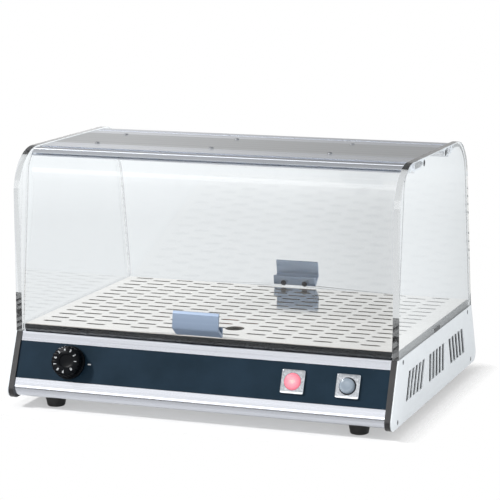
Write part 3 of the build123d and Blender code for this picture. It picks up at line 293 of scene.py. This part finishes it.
looks = {
    "aluminium": brushed("satin_aluminium", colour(196, 199, 206), colour(212, 215, 222), 0.16, 0.24,
                         along_x, 0.008),
    "panel_blue": moulded("blue_paint", colour(19, 36, 48), colour(24, 42, 56), 0.34, 0.46, 1500.0, 0.01,
                          Specular_IOR_Level=0.08),
    "black_frame": moulded("black_frame_plastic", colour(22, 22, 24), colour(34, 33, 35), 0.3, 0.45,
                           1200.0, 0.02),
    "side_satin": moulded("pale_satin_paint", colour(220, 225, 229), colour(228, 233, 237), 0.35, 0.5,
                          1300.0, 0.012),
    "zinc_screw": plated("zinc_plate", colour(104, 106, 110), colour(150, 152, 155), 0.36, 0.5),
    "black_screw": plated("blackened_steel", colour(38, 38, 40), colour(66, 66, 70), 0.25, 0.45),
    "galvanised": spangled("galvanised_sheet", colour(165, 169, 172), colour(205, 208, 210), 0.25, 0.45),
    "rubber": moulded("black_rubber", colour(18, 18, 18), colour(36, 35, 34), 0.6, 0.85, 700.0, 0.06),
    "black_sheet": moulded("black_satin_paint", colour(6, 9, 12), colour(13, 17, 21), 0.4, 0.5,
                           1100.0, 0.015, Specular_IOR_Level=0.08),
    "reflector": brushed("reflector_sheet", colour(170, 168, 164), colour(214, 212, 206), 0.2, 0.35,
                         along_x, 0.02),
    "element": plated("heater_tube", colour(62, 56, 52), colour(96, 86, 80), 0.4, 0.6),
    "brass": plated("plain_brass", colour(176, 142, 84), colour(222, 190, 122), 0.22, 0.4),
    "copper": plated("drawn_copper", colour(172, 104, 74), colour(224, 150, 114), 0.25, 0.45),
    "inner_plastic": moulded("inner_black_plastic", colour(18, 18, 19), colour(30, 30, 32), 0.4, 0.55,
                             900.0, 0.02),
    "inner_steel": plated("turned_steel", colour(150, 150, 152), colour(200, 200, 202), 0.2, 0.35),
    "black_plastic": moulded("black_nylon", colour(20, 20, 21), colour(34, 34, 36), 0.35, 0.5, 900.0, 0.03),
    "terminal_plastic": moulded("terminal_nylon", colour(222, 218, 204), colour(234, 231, 220), 0.4, 0.55,
                                900.0, 0.02),
    "chrome": plated("polished_chrome", colour(186, 190, 196), colour(208, 212, 217), 0.1, 0.2),
    "red_lens": lit_lens(),
    "clear_bulb": clear_sheet("bulb_glass", (0.98, 0.96, 0.93, 1.0), 1.45),
    "button_plastic": moulded("pale_grey_plastic", colour(118, 130, 142), colour(140, 152, 164), 0.16, 0.26,
                              1200.0, 0.02, Coat_Weight=0.4),
    "knob_black": moulded("gloss_black_plastic", colour(4, 6, 9), colour(8, 10, 14), 0.3, 0.4,
                          1400.0, 0.01, Specular_IOR_Level=0.06),
    "clear_acrylic": clear_sheet("cast_acrylic", (0.985, 0.993, 0.997, 1.0), 1.49),
    "top_satin": brushed("satin_top_sheet", colour(196, 198, 200), colour(214, 216, 218), 0.3, 0.42,
                         along_x, 0.01),
    "rail_aluminium": brushed("satin_rail", colour(206, 210, 218), colour(226, 230, 236), 0.22, 0.34,
                              along_x, 0.008),
    "handle_aluminium": brushed("satin_handle", colour(122, 138, 160), colour(140, 156, 178), 0.3, 0.42,
                                along_x, 0.01, 0.35),
    "tray_steel": brushed("polished_tray_steel", colour(240, 234, 228), colour(250, 245, 240), 0.06, 0.12,
                          along_x, 0.004, 0.85),
}
white_print = moulded("white_print", colour(205, 210, 214), colour(225, 228, 230), 0.4, 0.5, 900.0, 0.005)

for node in nodes.values():
    for material_slot in node.material_slots:
        material_slot.material = looks[material_slot.material.name]


# Mesh helpers

def plane(origin, x_dir, z_dir):
    """Matrix from millimetres on a plane to metres in the shared frame."""
    z_axis = Vector(z_dir).normalized()
    x_axis = Vector(x_dir).normalized()
    turned = Matrix((x_axis, z_axis.cross(x_axis), z_axis)).transposed().to_4x4()
    return Matrix.Scale(MM, 4) @ Matrix.Translation(origin) @ turned


def control_plane(x, out=0.0):
    """Plane on the sloped front at x, facing outwards, with its Y axis up the slope."""
    lean = radians(base_slope)
    return plane((x, *base_point(control_line, out)), (1, 0, 0), (0, -cos(lean), sin(lean)))


def rounded(corners, steps=8):
    """Closed outline through corners (x, y, radius), each one with a radius as an arc."""
    outline = []
    for index, (x, y, radius) in enumerate(corners):
        corner = Vector((x, y))
        if radius == 0:
            outline.append((x, y))
            continue
        before = (Vector(corners[index - 1][:2]) - corner).normalized()
        after = (Vector(corners[(index + 1) % len(corners)][:2]) - corner).normalized()
        half = before.angle(after) / 2
        centre = corner + (before + after).normalized() * radius / sin(half)
        start = corner + before * radius / tan(half) - centre
        end = corner + after * radius / tan(half) - centre
        first = atan2(start.y, start.x)
        turn = (atan2(end.y, end.x) - first + pi) % (2 * pi) - pi
        for step in range(steps + 1):
            angle = first + turn * step / steps
            outline.append((centre.x + radius * cos(angle), centre.y + radius * sin(angle)))
    return outline


def square(half, radius, steps=4):
    """Outline of a square with rounded corners."""
    return rounded([(-half, -half, radius), (half, -half, radius), (half, half, radius),
                    (-half, half, radius)], steps)


def circle(radius, steps=32, centre=(0.0, 0.0)):
    """Outline of a circle."""
    return [(centre[0] + radius * cos(2 * pi * step / steps),
             centre[1] + radius * sin(2 * pi * step / steps)) for step in range(steps)]


def at(outline, height):
    """Ring of points: a flat outline at a height over its plane."""
    return [(x, y, height) for x, y in outline]


def walls(bm, place, rings):
    """Faces between one ring of points and the next; gives the first and last ring's vertices."""
    made = [[bm.verts.new(place @ Vector(point)) for point in ring] for ring in rings]
    for low, high in zip(made, made[1:]):
        for index in range(len(low)):
            following = (index + 1) % len(low)
            bm.faces.new((low[index], low[following], high[following], high[index]))
    return made[0], made[-1]


def cap(bm, *loops):
    """Flat face inside the first loop of vertices and outside the others."""
    if len(loops) == 1:
        bm.faces.new(loops[0])
        return
    corners = [vertex for loop in loops for vertex in loop]
    for triangle in tessellate_polygon([[vertex.co for vertex in loop] for loop in loops]):
        bm.faces.new([corners[index] for index in triangle])


def solid(bm, place, *loops):
    """Closed solid: each loop is a stack of rings, the first stack outside and the rest holes."""
    ends = [walls(bm, place, rings) for rings in loops]
    cap(bm, *[first for first, last in ends])
    cap(bm, *[last for first, last in ends])


def finish_piece(bm, name, slot, body, replaced=(), bevel=0.0, segments=2, smooth_below=35.0):
    """Object from a bmesh, with rounded edges, its slot's finish, its body and its CAD nodes."""
    bmesh.ops.recalc_face_normals(bm, faces=bm.faces)
    mesh = bpy.data.meshes.new(name)
    bm.to_mesh(mesh)
    bm.free()
    mesh.shade_smooth()
    mesh.set_sharp_from_angle(angle=radians(smooth_below))
    mesh.materials.append(looks.get(slot, white_print))
    piece = bpy.data.objects.new(name, mesh)
    scene.collection.objects.link(piece)
    if bevel > 0:
        rounding = piece.modifiers.new("edges", "BEVEL")
        rounding.width = bevel * MM
        rounding.segments = segments
        rounding.limit_method = "ANGLE"
        rounding.angle_limit = radians(smooth_below)
        rounding.harden_normals = True
    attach(piece, body)
    if replaced:
        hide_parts(*replaced)
    return piece


def cross_screw(bm, place, profile, arm=2.0, arm_width=0.8, recess=1.3):
    """Screw with a cross recess; the profile runs from the edge of its top face to its tip."""
    floor_share = 0.85
    top = profile[0][1]
    half = arm_width / 2
    quarter = [(half, half), (half, arm), (-half, arm)]
    cross = []
    for turn in range(4):
        angle = turn * pi / 2
        cross += [(x * cos(angle) - y * sin(angle), x * sin(angle) + y * cos(angle)) for x, y in quarter]
    outer, tip = walls(bm, place, [at(circle(radius, 24), height) for radius, height in profile])
    narrowed = [(x * floor_share, y * floor_share) for x, y in cross]
    rim, floor = walls(bm, place, [at(cross, top), at(narrowed, top - recess)])
    cap(bm, outer, rim)
    cap(bm, tip)
    cap(bm, floor)


# Side glass: clear sheet with two large round corners, a notch for the key and two screw holes

rail_screw_places = [(-72.0, 316.2), (29.0, 316.2)]
cover_screw_places = [(-154.5, 88.0), (154.5, 88.0), (-176.0, 19.5), (176.0, 19.5)]


def side_plane(side):
    """Plane on the outside of the case's side, facing out: its X axis runs along Y."""
    return plane((side * half_width, 0, 0), (0, 1, 0), (side, 0, 0))


def side_glass(side, name):
    """Side sheet between the end frame and the top; its bottom edges are dark, as seen through it."""
    hole_radius, sink_radius, sink_depth = 2.0, 4.1, 2.1
    rear_base = seat_half_depth - 1.0
    rear_top = rear_base - (glass_top - seat_height) * tan(radians(rear_edge_lean))
    key, key_top = 15.0, seat_height + 5.5
    corners = [(-seat_half_depth, seat_height, 0), (-seat_half_depth, glass_top, side_glass_corner),
               (rear_top, glass_top, side_glass_corner), (rear_base, seat_height, 0),
               (key, seat_height, 0), (key, key_top, 0), (-key, key_top, 0), (-key, seat_height, 0)]
    outline = [(y, side * z) for y, z in rounded(corners, 28)]
    bm = bmesh.new()
    loops = [[at(outline, 0), at(outline, -side_glass_thickness)]]
    for y, z in rail_screw_places:
        centre = (y, side * z)
        hole = circle(hole_radius, 24, centre)
        loops.append([at(circle(sink_radius, 24, centre), 0), at(hole, -sink_depth),
                      at(hole, -side_glass_thickness)])
    solid(bm, side_plane(side), *loops)
    sheet = finish_piece(bm, f"side_sheet_{name}", "clear_acrylic", "case", [f"side_glass_{name}"],
                         bevel=0.5)
    sheet.data.materials.append(looks["black_frame"])
    for face in sheet.data.polygons:
        if face.center.z < (key_top + 0.1) * MM and abs(face.normal.z) > 0.9:
            face.material_index = 1
    return sheet


side_glass(-1, "left")
side_glass(1, "right")


def side_screws(name, places, profile, slot, replaced):
    """Screws through both sides of the case, with their heads flush outside."""
    bm = bmesh.new()
    for side in (-1, 1):
        for y, z in places:
            place = plane((side * half_width, y, z), (0, 1, 0), (side, 0, 0))
            cross_screw(bm, place, profile)
    return finish_piece(bm, name, slot, "case", [replaced], bevel=0.12, segments=1)


side_screws("rail_cross_screws", rail_screw_places, [(3.9, 0.0), (3.95, -0.1), (1.6, -2.3), (1.6, -20.0)],
            "black_screw", "rail_screws")
side_screws("cover_cross_screws", cover_screw_places, [(3.1, 0.0), (3.15, -0.1), (1.6, -1.5), (1.6, -20.0)],
            "zinc_screw", "side_cover_screws")


# Flaps: clear sheet with one bend and two countersunk holes for the handle's screws

def flap_directions(flap, side):
    """Foot of the flap's outer face, and the directions up the sheet and into the case."""
    tilt = radians(flap["lean"])
    foot_z = flap_bottom + flap_thickness * sin(tilt)
    foot = Vector((0, -side * flap["foot_y"], foot_z))
    up = Vector((0, -side * sin(tilt), cos(tilt)))
    inward = Vector((0, -side * cos(tilt), -sin(tilt)))
    return foot, up, inward


def flap_sheet(name, flap, side, body, replaced):
    """Bent sheet, worked out at the front (side -1) and mirrored for the rear (side 1)."""
    half_length = 241.0
    hole_radius, sink_radius, sink_depth = 2.0, 4.0, 2.0
    foot_bevel = 3.0
    arc_steps = 28
    tilt = radians(flap["lean"])
    foot, up, inward = flap_directions(flap, side)
    centre_z = flap_top - flap["bend"]
    start_z = centre_z + flap["bend"] * sin(tilt)
    centre_y = flap["foot_y"] + (start_z - foot.z) * tan(tilt) + flap["bend"] * cos(tilt)

    def section(depth):
        """Points (y, z) up one face of the sheet, at a depth from its outer face."""
        points = [(foot + inward * depth + up * foot_bevel * (1 - depth / flap_thickness))[1:]]
        radius = flap["bend"] - depth
        for step in range(arc_steps + 1):
            angle = radians(180.0 - flap["lean"]) * (1 - step / arc_steps)
            angle += radians(flap["arc_end"]) * step / arc_steps
            points.append((-side * (centre_y + radius * cos(angle)), centre_z + radius * sin(angle)))
        if side > 0:
            points.append((-side * rear_sheet_end, flap_top - depth))
        return points

    bm = bmesh.new()
    faces = []
    for depth in (0.0, flap_thickness):
        columns = [[bm.verts.new(Vector((x, y, z)) * MM) for y, z in section(depth)]
                   for x in (-half_length, half_length)]
        faces.append(columns)
        for index in range(1, len(columns[0]) - 1):
            bm.faces.new((columns[0][index], columns[1][index],
                          columns[1][index + 1], columns[0][index + 1]))
    (outer_left, outer_right), (inner_left, inner_right) = faces
    for outer, inner in ((outer_left, inner_left), (outer_right, inner_right)):
        for index in range(len(outer) - 1):
            bm.faces.new((outer[index], outer[index + 1], inner[index + 1], inner[index]))
    for index in (0, -1):
        bm.faces.new((outer_left[index], outer_right[index], inner_right[index], inner_left[index]))
    holes = []
    across = Vector((1, 0, 0))
    for offset in (-handle_screw_gap / 2, handle_screw_gap / 2):
        hub = foot + across * (flap["handle_x"] + offset) + up * handle_screw_rise
        rings = []
        for radius, depth in ((hole_radius, 0.0), (hole_radius, flap_thickness - sink_depth),
                              (sink_radius, flap_thickness)):
            rings.append([hub + inward * depth + across * x + up * y for x, y in circle(radius, 24)])
        holes.append(walls(bm, Matrix.Scale(MM, 4), rings))
    for (left, right), end in ((faces[0], 0), (faces[1], 1)):
        panel = [left[0], right[0], right[1], left[1]]
        cap(bm, panel, *[hole[end] for hole in holes])
    return finish_piece(bm, name, "clear_acrylic", body, [replaced], bevel=0.35, smooth_below=25.0)


flap_sheet("front_clear_flap", front_flap, -1, "front_flap", "front_flap_glass")
flap_sheet("rear_clear_flap", rear_flap, 1, "rear_flap", "rear_flap_glass")


def handle(name, flap, side, body, replaced):
    """Extruded handle: jaw on the sheet and a grip that stands off it, as (inward, up, radius)."""
    corners = [(0, 10.2, 0.6), (0, 23.0, 0.6), (-3.0, 23.0, 0.6), (-3.0, 15.5, 0), (-14.0, 21.5, 1.5),
               (-14.0, 41.0, 0.6), (-15.2, 41.0, 0.7), (-17.0, 37.6, 1.5), (-17.0, 19.0, 4.0),
               (-3.2, 10.9, 1.2)]
    half_length = 30.0
    foot, up, inward = flap_directions(flap, side)
    origin = foot + Vector((flap["handle_x"], 0, 0))
    outline = rounded(corners, 6)
    bm = bmesh.new()
    solid(bm, plane(origin, inward, (-side, 0, 0)), [at(outline, -half_length), at(outline, half_length)])
    return finish_piece(bm, name, "handle_aluminium", body, [replaced], bevel=0.35)


def handle_screws(name, flap, side, body, replaced):
    """Two countersunk screws on the flap's inner face."""
    foot, up, inward = flap_directions(flap, side)
    bm = bmesh.new()
    for offset in (-handle_screw_gap / 2, handle_screw_gap / 2):
        hub = foot + up * handle_screw_rise + inward * flap_thickness
        hub += Vector((flap["handle_x"] + offset, 0, 0))
        cross_screw(bm, plane(hub, (1, 0, 0), inward),
                    [(3.8, 0.0), (3.85, -0.1), (1.9, -2.0), (1.9, -flap_thickness - 3.0)])
    return finish_piece(bm, name, "black_screw", body, [replaced], bevel=0.12, segments=1)


handle("front_grip", front_flap, -1, "front_flap", "front_handle")
handle("rear_grip", rear_flap, 1, "rear_flap", "rear_handle")
handle_screws("front_grip_screws", front_flap, -1, "front_flap", "front_handle_screws")
handle_screws("rear_grip_screws", rear_flap, 1, "rear_flap", "rear_handle_screws")


# Tray: thin polished sheet with staggered slots, a finger hole and two lips beneath

def add_tray():
    """Tray sheet in one piece with its lips."""
    half_x, half_y = 240.0, 165.5
    top, thickness = 103.0, 1.0
    slot_length, slot_width = 25.0, 5.5
    pitch_x, pitch_y = 60.0, 23.1
    centre_x, centre_y = -4.0, 7.3
    columns, rows = 8, 14
    hole = (19.5, -108.0)
    free_x, free_y = 20.0, 18.0
    lip_y, lip_half, lip_depth = 151.0, 210.0, 5.0

    def slot_outline(x, y):
        """Outline of a slot with round ends."""
        reach = (slot_length - slot_width) / 2
        points = []
        for end in (1, -1):
            for step in range(9):
                angle = pi * step / 8 - pi / 2
                points.append((x + end * (reach + slot_width / 2 * cos(angle)),
                               y + end * slot_width / 2 * sin(angle)))
        return points

    holes = [circle(12.0, 48, hole)]
    for fewer in (0, 1):
        for column in range(columns - fewer):
            for row in range(rows - fewer):
                x = centre_x + (column - (columns - fewer - 1) / 2) * pitch_x
                y = centre_y + (row - (rows - fewer - 1) / 2) * pitch_y
                if abs(x - hole[0]) < free_x and abs(y - hole[1]) < free_y:
                    continue
                holes.append(slot_outline(x, y))
    bm = bmesh.new()
    flat = plane((0, 0, top), (1, 0, 0), (0, 0, 1))
    sheet = [(-half_x, -half_y), (half_x, -half_y), (half_x, half_y), (-half_x, half_y)]
    solid(bm, flat, *[[at(outline, 0), at(outline, -thickness)] for outline in [sheet, *holes]])
    for side in (-1, 1):
        edge = [(-lip_half, side * lip_y - thickness / 2), (lip_half, side * lip_y - thickness / 2),
                (lip_half, side * lip_y + thickness / 2), (-lip_half, side * lip_y + thickness / 2)]
        solid(bm, flat, [at(edge, -thickness), at(edge, -thickness - lip_depth)])
    return finish_piece(bm, "slotted_tray", "tray_steel", "tray", ["tray"], bevel=0.2)


add_tray()


# Top plate screws: low domed heads

def add_plate_screws():
    """Six domed cross screws on the top plate."""
    plate_top = 322.0
    profile = [(1.7, 1.4), (2.3, 1.25), (2.75, 0.9), (2.95, 0.4), (3.0, 0.0), (1.5, 0.0), (1.5, -5.5)]
    bm = bmesh.new()
    for x in (-183.0, -27.0, 129.0):
        for y in (-67.5, 24.5):
            cross_screw(bm, plane((x, y, plate_top), (1, 0, 0), (0, 0, 1)), profile,
                        arm=1.3, arm_width=0.6, recess=0.9)
    return finish_piece(bm, "plate_cross_screws", "zinc_screw", "case", ["top_plate_screws"])


add_plate_screws()


# Knob: fluted grip on a round skirt, with white figures round its face

knob_gap = 1.6
knob_face = knob_gap + 15.0


def fluted(radius, flutes=24, cutter=1.5, inset=0.8):
    """Outline of the grip: a circle with a shallow round flute cut at equal steps."""
    centre_radius = radius + cutter - inset
    reach = (radius ** 2 + centre_radius ** 2 - cutter ** 2) / (2 * radius * centre_radius)
    spread = atan2((1 - reach ** 2) ** 0.5, reach)
    points = []
    for flute in range(flutes):
        middle = 2 * pi * flute / flutes
        edge = Vector((radius * cos(spread) - centre_radius, radius * sin(spread)))
        limit = atan2(edge.y, -edge.x)
        for step in range(-3, 4):
            angle = pi + limit * step / 3
            x = centre_radius + cutter * cos(angle)
            y = cutter * sin(angle)
            points.append((x * cos(middle) + y * sin(middle), x * sin(middle) - y * cos(middle)))
        gap = 2 * pi / flutes - 2 * spread
        for step in (1, 2, 3):
            angle = middle + spread + gap * step / 4
            points.append((radius * cos(angle), radius * sin(angle)))
    return points


def add_knob():
    """Knob in two stacked parts: the round skirt and the fluted grip with a sunk face."""
    bm = bmesh.new()
    place = control_plane(knob_x, knob_gap)
    skirt = [(20.4, 0.0), (20.9, 0.3), (21.0, 0.8), (21.0, 2.5), (20.8, 3.1), (20.3, 3.5)]
    solid(bm, place, [at(circle(radius, 96), height) for radius, height in skirt])
    grip = [(19.5, 3.5), (19.3, 8.0), (19.15, 12.6), (18.9, 13.7), (18.3, 14.5), (17.4, 15.0)]
    outer, rim = walls(bm, place, [at(fluted(radius), height) for radius, height in grip])
    well = [(8.3, 15.0), (8.0, 14.8), (7.7, 13.9), (7.3, 13.8)]
    well_rim, well_floor = walls(bm, place, [at(circle(radius, 64), height) for radius, height in well])
    cap(bm, rim, well_rim)
    cap(bm, well_floor)
    cap(bm, outer)
    return finish_piece(bm, "fluted_knob", "knob_black", "knob", ["knob"], smooth_below=50.0)


def add_figures():
    """White figures 1 to 9 and 0, whose tops point out to the rim."""
    bm = bmesh.new()
    figure_radius = 13.6
    figure_size = 5.0
    figure_step = 33.5
    zero_place = 314.0
    print_height = 0.06
    marks = [(str(number + 1), number * figure_step) for number in range(9)] + [("0", zero_place)]
    for text, degrees_round in marks:
        data = bpy.data.curves.new("figure", "FONT")
        data.body = text
        data.size = figure_size
        data.extrude = print_height
        data.align_x = "CENTER"
        data.align_y = "CENTER"
        carrier = bpy.data.objects.new("figure", data)
        mesh = bpy.data.meshes.new_from_object(carrier)
        angle = radians(degrees_round)
        spin = Matrix.Rotation(angle - pi / 2, 4, "Z")
        shift = Matrix.Translation((figure_radius * cos(angle), figure_radius * sin(angle), 0.0))
        mesh.transform(control_plane(knob_x, knob_face + 0.02) @ shift @ spin)
        bm.from_mesh(mesh)
        bpy.data.objects.remove(carrier)
        bpy.data.curves.remove(data)
        bpy.data.meshes.remove(mesh)
    return finish_piece(bm, "knob_figures", "", "knob")


def add_index():
    """Printed index mark on the panel, at the side of the knob."""
    index_x = -144.0
    half_x, half_y, corner = 2.2, 0.7, 0.5
    bm = bmesh.new()
    mark = rounded([(-half_x, -half_y, corner), (half_x, -half_y, corner), (half_x, half_y, corner),
                    (-half_x, half_y, corner)], 4)
    solid(bm, control_plane(index_x, panel_face), [at(mark, 0.05), at(mark, 0.01)])
    return finish_piece(bm, "index_mark", "", "case")


add_knob()
add_figures()
add_index()


# Pilot lamp and push switch

def bezel(x, name):
    """Square bezel with rounded edges and a round window."""
    bm = bmesh.new()
    frame_rings = [(15.0, 0.0), (14.85, 1.0), (14.7, 2.1), (14.45, 2.45), (14.0, 2.6)]
    window_rings = [(10.6, 0.0), (10.6, 2.5), (10.7, 2.6)]
    solid(bm, control_plane(x, panel_face),
          [at(square(half, 2.0, 6), height) for half, height in frame_rings],
          [at(circle(radius, 64), height) for radius, height in window_rings])
    return finish_piece(bm, f"{name}_bezel_ring", "chrome", "case", [f"{name}_bezel"])


def turned(name, place, profile, slot, body, replaced, steps=64):
    """Round part from a profile of (radius, height)."""
    bm = bmesh.new()
    solid(bm, place, [at(circle(radius, steps), height) for radius, height in profile])
    return finish_piece(bm, name, slot, body, replaced)


bezel(lamp_x, "lamp")
bezel(switch_x, "switch")
turned("lamp_dome", control_plane(lamp_x),
       [(10.3, -3.0), (10.4, -2.6), (10.4, 2.0), (10.15, 2.9), (9.5, 3.5), (8.2, 3.85), (6.0, 4.05),
        (3.5, 4.15), (1.2, 4.2)], "red_lens", "case", ["lamp_lens"])
turned("switch_cap", control_plane(switch_x),
       [(9.0, -4.0), (9.2, -3.7), (9.2, 6.2), (9.0, 7.2), (8.3, 7.95), (7.2, 8.35), (6.0, 8.45),
        (4.2, 8.35), (2.4, 8.2), (1.0, 8.15)], "button_plastic", "button", ["switch_button"])


# Feet: tapered rubber with a rounded rim and a recess for the screw

def add_feet():
    """Four rubber feet."""
    foot_x, foot_y = 200.0, 167.0
    profile = [(13.9, foot_height), (13.7, foot_height - 0.8), (11.25, 1.4), (11.0, 0.8), (10.5, 0.3),
               (9.8, 0.0), (5.0, 0.0), (4.6, 0.4), (4.6, 5.0)]
    for end_name, side_y in (("front", -1), ("rear", 1)):
        for side_name, side_x in (("left", -1), ("right", 1)):
            place = plane((side_x * foot_x, side_y * foot_y, 0), (1, 0, 0), (0, 0, 1))
            turned(f"rubber_{end_name}_{side_name}", place, profile, "rubber", "case",
                   [f"foot_{end_name}_{side_name}"], 48)


add_feet()


# World, lamp and floor

def graded(tree, source, stops, tone=(1.0, 1.0, 1.0)):
    """Shade of one tone along a factor from 0 to 1, through stops of (position, brightness)."""
    ramp = tree.nodes.new("ShaderNodeValToRGB")
    tree.links.new(source, ramp.inputs["Fac"])
    elements = ramp.color_ramp.elements
    for index, (position, brightness) in enumerate(stops):
        element = elements[index] if index < 2 else elements.new(position)
        element.position = position
        element.color = (*[brightness * share for share in tone], 1.0)
    return ramp.outputs["Color"]


def colour_mix(tree, mode, factor, first, second):
    """Colour from two sockets; a mix node has its colour sockets at these fixed places."""
    first_colour, second_colour, result = 6, 7, 2
    node = tree.nodes.new("ShaderNodeMix")
    node.data_type = "RGBA"
    node.blend_type = mode
    if factor is None:
        node.inputs["Factor"].default_value = 1.0
    else:
        tree.links.new(factor, node.inputs["Factor"])
    tree.links.new(first, node.inputs[first_colour])
    tree.links.new(second, node.inputs[second_colour])
    return node.outputs[result]


def blended(tree, factor, first, second):
    """Colour between two sockets along a factor."""
    return colour_mix(tree, "MIX", factor, first, second)


def product(tree, first, second):
    """Colour of one socket times another."""
    return colour_mix(tree, "MULTIPLY", None, first, second)


def add_world():
    """Staged surroundings, which differ with the kind of ray.

    Scattered light comes from an even room. Mirrored rays see a strip light in front, a grey
    ceiling and a pale wall beside. Rays through the clear sheets see a pale cloth, and so do
    mirrored ones that rise to the rear through a sheet. The camera sees plain white.
    """
    world = bpy.data.worlds.new("studio")
    scene.world = world
    world.use_nodes = True
    tree = world.node_tree
    shader = tree.nodes["Background"]
    direction = tree.nodes.new("ShaderNodeTexCoord").outputs["Generated"]
    axes = tree.nodes.new("ShaderNodeSeparateXYZ")
    tree.links.new(direction, axes.inputs[0])

    def along(axis, gain, offset):
        """Share from 0 to 1 along an axis of the direction."""
        share = math_node(tree, "MULTIPLY_ADD", axes.outputs[axis], gain)
        share.node.inputs[2].default_value = offset
        share.node.use_clamp = True
        return share

    depth = math_node(tree, "ABSOLUTE", axes.outputs["Y"])
    rise = math_node(tree, "ARCTAN2", axes.outputs["Z"], depth)
    height = math_node(tree, "MULTIPLY_ADD", rise, 1 / pi)
    height.node.inputs[2].default_value = 0.5
    leftward = along("X", -1.0, 0.0)
    rightward = along("X", 1.0, 0.0)
    far_right = along("X", 30.0, -6.0)
    rearward = along("Y", 1.6, 0.5)
    upward = along("Z", 50.0, 0.0)
    cool = (0.95, 1.0, 1.03)
    strip_light = 3.0
    ceiling = graded(tree, height, [(0.5, 1.0), (0.54, 0.9), (0.596, 0.42), (0.71, 0.4), (1.0, 0.6)])
    wall = graded(tree, leftward, [(0.27, 0.72), (0.315, 0.84), (0.4, 1.3), (0.43, 1.3), (0.52, 0.9)])
    rear = product(tree, ceiling, wall)
    front = graded(tree, height, [(0.42, 0.8), (0.48, 0.1), (0.527, 0.15), (0.532, strip_light),
                                  (0.633, strip_light), (0.66, 0.8), (0.75, 0.55), (1.0, 0.6)])
    beside = graded(tree, rightward, [(0.236, 0.65), (0.256, 1.05), (0.27, 1.3), (0.8, 1.2)], cool)
    studio = blended(tree, rearward, front, rear)
    studio = blended(tree, far_right, studio, beside)
    room = graded(tree, rightward, [(0.2, 0.5), (0.8, 1.2)])
    cloth = graded(tree, leftward, [(0.25, 0.86), (0.28, 0.8), (0.32, 0.92), (0.4, 1.0)],
                   (0.975, 1.0, 1.015))
    fall = graded(tree, along("Z", 40.0, 6.4), [(0.0, 0.9), (1.0, 1.02)])
    behind = product(tree, cloth, fall)
    white = tree.nodes.new("ShaderNodeRGB").outputs[0]
    white.default_value = (1.0, 1.0, 1.0, 1.0)
    path = tree.nodes.new("ShaderNodeLightPath").outputs
    through = math_node(tree, "MINIMUM", path["Transparent Depth"], 1.0)
    through = math_node(tree, "MULTIPLY", through, rearward)
    through = math_node(tree, "MULTIPLY", through, upward)
    shown = blended(tree, path["Is Glossy Ray"], room, blended(tree, through, studio, behind))
    shown = blended(tree, path["Is Transmission Ray"], shown, behind)
    shown = blended(tree, path["Is Camera Ray"], shown, white)
    tree.links.new(shown, shader.inputs["Color"])


def add_key_light():
    """Sun lamp with a soft-edged shadow, from the upper left front."""
    data = bpy.data.lights.new("key", "SUN")
    data.energy = 3.0
    data.angle = radians(7.0)
    lamp = bpy.data.objects.new("key", data)
    scene.collection.objects.link(lamp)
    towards = Vector((-0.62, -0.42, 0.68))
    lamp.rotation_euler = towards.to_track_quat("Z", "Y").to_euler()


def add_floor():
    """White floor, in metres; it shows the case's shadow and fades into the white behind it."""
    pale = (0.9, 0.9, 0.9, 1.0)
    paler = (0.915, 0.915, 0.915, 1.0)
    floor_half = 1.5
    case_half_depth = 210.0 * MM
    shadow_fade, shadow_reach = 0.4, 0.03
    far_start, far_end = 0.5, 1.1
    look = Look("white_floor", pale, 0.9, 0.0, Specular_IOR_Level=0.0)
    paper = look.grain((3.0, 3.0, 3.0), 2.0)
    look.tint(paper, pale, paler)
    place = look.add("SeparateXYZ", Vector=look.place).outputs
    away = []
    for axis, half in (("X", half_width * MM), ("Y", case_half_depth)):
        past = math_node(look.tree, "SUBTRACT", math_node(look.tree, "ABSOLUTE", place[axis]), half)
        away.append(math_node(look.tree, "MAXIMUM", past, 0.0))
    gap = look.add("CombineXYZ", X=away[0], Y=away[1])
    distance = look.add("VectorMath", Vector=gap.outputs[0])
    distance.operation = "LENGTH"
    seen_fade = look.spread(distance.outputs["Value"], shadow_fade, 1.0, 0.0, shadow_reach)
    path = look.add("LightPath").outputs
    seen = math_node(look.tree, "MAXIMUM", path["Is Camera Ray"], path["Is Transmission Ray"])
    seen = math_node(look.tree, "MAXIMUM", seen, path["Is Glossy Ray"])
    seen_fade = math_node(look.tree, "MULTIPLY", seen_fade, seen)
    far_fade = look.spread(distance.outputs["Value"], 0.0, 1.0, far_start, far_end)
    gone = look.add("BsdfTransparent")
    mix = look.add("MixShader", Fac=math_node(look.tree, "MAXIMUM", seen_fade, far_fade))
    look.tree.links.new(look.shader.outputs[0], mix.inputs[1])
    look.tree.links.new(gone.outputs[0], mix.inputs[2])
    look.tree.links.new(mix.outputs[0], look.tree.nodes["Material Output"].inputs["Surface"])
    bm = bmesh.new()
    bmesh.ops.create_grid(bm, x_segments=8, y_segments=8, size=floor_half)
    mesh = bpy.data.meshes.new("floor")
    bm.to_mesh(mesh)
    bm.free()
    mesh.materials.append(look.material)
    floor = bpy.data.objects.new("floor", mesh)
    scene.collection.objects.link(floor)


add_world()
add_key_light()
add_floor()
scene.view_settings.view_transform = "Standard"

# Light bounces many times inside the clear sheets before it leaves by an edge
sheet_bounces = 32
scene.cycles.max_bounces = sheet_bounces
scene.cycles.glossy_bounces = sheet_bounces
scene.cycles.transmission_bounces = sheet_bounces
scene.cycles.transparent_max_bounces = sheet_bounces
